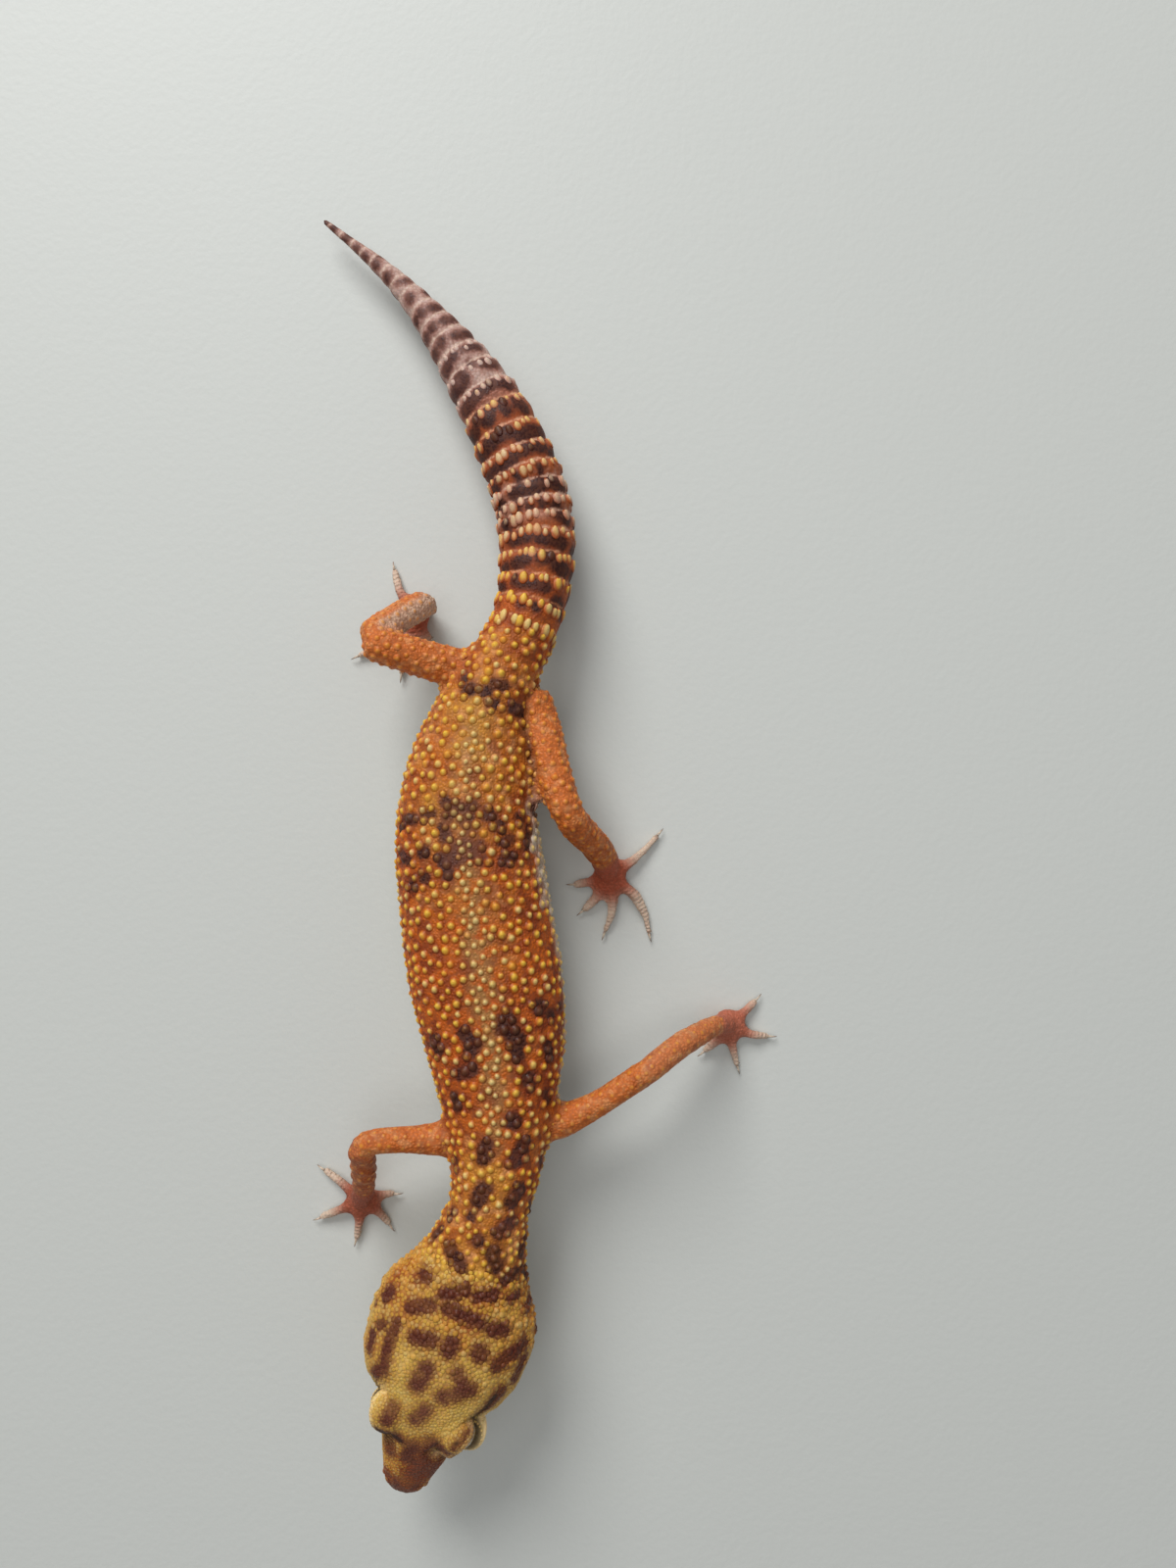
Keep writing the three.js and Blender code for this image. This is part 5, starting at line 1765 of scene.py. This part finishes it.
def eye_material(settings):
    made, nodes, shader = new_material("gecko_eye")
    across, upright, tilt = (nodes.attribute(name) for name in ("across", "upright", "tilt"))
    around = nodes.add("ShaderNodeCombineXYZ", None, {"X": across, "Y": upright}).outputs[0]
    flow = nodes.noise(7.0, 5.0, around)
    direction = nodes.math("ARCTAN2", upright, across)
    spokes = nodes.math("SINE", nodes.times_plus(direction, 34.0, nodes.times(flow, 14.0)))
    veins = nodes.step(nodes.times_plus(flow, 1.6, nodes.times(spokes, 0.25)), 0.75, 1.15)
    frill = nodes.math("SINE", nodes.times(upright, 17.0))
    taper = nodes.step(nodes.math("ABSOLUTE", upright), 0.7, 0.25)
    half = nodes.times(nodes.times_plus(frill, 0.018, 0.1), taper)
    outside = nodes.math("SUBTRACT", nodes.math("ABSOLUTE", across), half)
    colours = nodes.layers(
        nodes.mix(veins, (*settings.iris, 1.0), (*settings.veins, 1.0)),
        (nodes.step(outside, 0.14, 0.03, 0.0, 0.55), "iris_gold"),
        (nodes.step(outside, 0.025, -0.01), "pupil"),
        # Painted shade on the eyeball's edge, where it goes under the lids.
        (nodes.step(tilt, 0.85, 1.15), "eyeball_shade"),
    )
    rough = nodes.step(flow, 0.3, 0.7, 0.2, 0.3)
    nodes.feed(shader, {"Base Color": colours, "Roughness": rough, "Coat Weight": 1.0, "Coat Roughness": 0.03})
    return made


# Radius of a claw at its root and point, its arch, droop and lift, its width and the depth of its underside.
CLAW = {"root": 0.27, "point": 0.03, "arch": 0.16, "droop": 0.3, "lift": 0.05, "width": 0.72, "under": 0.78}
LOWEST_CLAW = 0.02  # above the floor


class GeckoMakeClaws(bpy.types.Operator):
    """A small hooked claw at the end of every toe"""

    bl_idname = "gecko.make_claws"
    bl_label = "Claws"

    def execute(self, context):
        material = claw_material()
        for limb in LIMB_NODES:
            for digit in DIGITS:
                self.make_claw(f"{limb}_{digit}", limb, material)
        return {"FINISHED"}

    def make_claw(self, name, limb, material):
        corners, _ = cad_solid(f"claw_{name}")
        reach = distance(corners[:, :2], palm_middle(limb)[:2])
        base, tip = corners[reach < reach.min() + 0.25].mean(0), corners[reach.argmax()]
        forward = unit((tip - base) * (1, 1, 0))
        length = np.linalg.norm((tip - base)[:2])
        across = np.cross(forward, UP)
        sides, rows = 12, 9
        points, faces = [], []
        for row in range(rows + 1):
            share = row / rows
            centre = base + forward * (length * (-0.55 + 1.55 * share))
            rise = CLAW["arch"] * math.sin(math.pi * share) - CLAW["droop"] * share**2.2 + CLAW["lift"]
            radius = CLAW["root"] * (1 - share) ** 0.8 + CLAW["point"]
            for side in range(sides):
                angle = 2 * math.pi * side / sides
                sideways, upwards = CLAW["width"] * math.cos(angle), math.sin(angle)
                upwards *= CLAW["under"] if upwards < 0 else 1.0
                points.append(centre + UP * rise + radius * (sideways * across + upwards * UP))
        root, point = len(points), len(points) + 1
        points = np.array([*points, base - forward * length * 0.6, tip - UP * 0.02])
        points[:, 2] = np.maximum(points[:, 2], LOWEST_CLAW)
        for side in range(sides):
            after = (side + 1) % sides
            for low in range(0, rows * sides, sides):
                faces.append((low + after, low + side, low + sides + side, low + sides + after))
            faces += [(side, after, root), (rows * sides + after, rows * sides + side, point)]
        mesh = bpy.data.meshes.new(f"horn_{name}")
        mesh.from_pydata((points * MM).tolist(), [], faces)
        write_attribute(mesh, "tip", distance(points[:, :2], base[:2]) / length)
        finish_piece(f"horn_{name}", mesh, material, "claw", f"claw_{name}")


def claw_material():
    made, nodes, shader = new_material("gecko_claw")
    tip = nodes.step(nodes.attribute("tip"), 0.1, 0.9)
    streaks = nodes.step(nodes.noise(4.0, 3.0), 0.4, 0.7, 0.0, 0.4)
    colours = nodes.layers(nodes.mix(tip, "pale", "horn"), (streaks, "mauve"))
    nodes.feed(shader, {"Base Color": colours, "Roughness": 0.32})
    nodes.feed(shader, {"Subsurface Weight": 0.1, "Subsurface Scale": 0.0004})
    return made


# Round lamps that point at the middle: name, place and size in metres, and share of the key's power.
LAMPS = [("key", (-0.3, 0.74, 0.6), 0.55, 1.0), ("top", (-0.1, 0.0, 1.1), 0.9, 0.3)]
SKY = (0.94, 0.97, 1.0, 1.0)
SENSOR_HEIGHT, NEAREST_SEEN = 36.0, 0.01
FLOOR_HALF = 1.2  # metres


class GeckoMakeStage(bpy.types.Operator):
    """A pale floor, soft light and the camera straight above"""

    bl_idname = "gecko.make_stage"
    bl_label = "Stage"

    def execute(self, context):
        stage = context.scene.gecko_stage
        self.make_floor(stage)
        self.make_lights(stage)
        self.make_camera(stage)
        return {"FINISHED"}

    def make_floor(self, stage):
        form = bmesh.new()
        bmesh.ops.create_grid(form, x_segments=8, y_segments=8, size=FLOOR_HALF)
        mesh = bpy.data.meshes.new("floor")
        form.to_mesh(mesh)
        form.free()
        material, nodes, shader = new_material("floor_paint")
        normal = nodes.bump(nodes.noise(0.9), 0.00004)
        nodes.feed(shader, {"Base Color": (*stage.floor, 1.0), "Roughness": 0.55, "Normal": normal})
        mesh.materials.append(material)
        add_object("floor", mesh)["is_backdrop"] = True

    def make_lights(self, stage):
        for name, place, size, share in LAMPS:
            lamp = bpy.data.lights.new(name, "AREA")
            lamp.shape = "DISK"
            lamp.size = size
            lamp.energy = stage.key_power * share
            holder = add_object(name, lamp)
            holder.location = place
            holder.rotation_euler = (-Vector(place)).to_track_quat("-Z", "Y").to_euler()
        world = bpy.data.worlds.new("surround")
        world.use_nodes = True
        ground = world.node_tree.nodes["Background"]
        ground.inputs["Color"].default_value = SKY
        ground.inputs["Strength"].default_value = stage.fill
        bpy.context.scene.world = world

    def make_camera(self, stage):
        camera = bpy.data.cameras.new("camera")
        camera.lens = stage.focal
        camera.sensor_fit = "VERTICAL"
        camera.sensor_height = SENSOR_HEIGHT
        camera.clip_start = NEAREST_SEEN
        holder = add_object("camera", camera)
        holder.location = (*(PLAN_ORIGIN[:2] * MM), stage.camera_height)
        bpy.context.scene.camera = holder
        bpy.context.scene.view_settings.view_transform = "Standard"


PIECES = (
    GeckoMakeSkin,
    GeckoMakeTrunkScales,
    GeckoMakeTailScales,
    GeckoMakeHeadScales,
    GeckoMakeLipScales,
    GeckoMakeLidScales,
    GeckoMakeLimbScales,
    GeckoMakeEyes,
    GeckoMakeClaws,
    GeckoMakeStage,
)
SETTINGS = {
    "gecko_skin": GeckoSkinSettings,
    "gecko_coat": GeckoCoatSettings,
    "gecko_colours": GeckoColourSettings,
    "gecko_eyes": GeckoEyeSettings,
    "gecko_stage": GeckoStageSettings,
}


class GeckoPanel(bpy.types.Panel):
    """The pieces of the gecko and what they are made with"""

    bl_idname = "VIEW3D_PT_gecko"
    bl_label = "Leopard gecko"
    bl_space_type = "VIEW_3D"
    bl_region_type = "UI"
    bl_category = "Gecko"

    def draw(self, context):
        for piece in PIECES:
            self.layout.operator(piece.bl_idname)
        for name, group in SETTINGS.items():
            box = self.layout.box()
            for setting in group.__annotations__:
                box.prop(getattr(context.scene, name), setting)


def register():
    for group in (*SETTINGS.values(), *PIECES, GeckoPanel):
        bpy.utils.register_class(group)
    for name, group in SETTINGS.items():
        setattr(bpy.types.Scene, name, PointerProperty(type=group))


def unregister():
    for name in SETTINGS:
        delattr(bpy.types.Scene, name)
    for group in reversed((*SETTINGS.values(), *PIECES, GeckoPanel)):
        bpy.utils.unregister_class(group)


def write_sizes():
    """Keeps the box of the CAD model and that of the finished one, side by side."""
    boxes = {"cad": CAD_BOX, "visual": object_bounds()}
    plain = {name: [list(corner) for corner in box] for name, box in boxes.items()}


def main():
    register()
    bpy.ops.gecko.make_skin()
    bpy.ops.gecko.make_trunk_scales()
    bpy.ops.gecko.make_tail_scales()
    bpy.ops.gecko.make_head_scales()
    bpy.ops.gecko.make_lip_scales()
    bpy.ops.gecko.make_lid_scales()
    bpy.ops.gecko.make_limb_scales()
    bpy.ops.gecko.make_eyes()
    bpy.ops.gecko.make_claws()
    bpy.ops.gecko.make_stage()
    write_sizes()


if __name__ == "__main__":
    main()
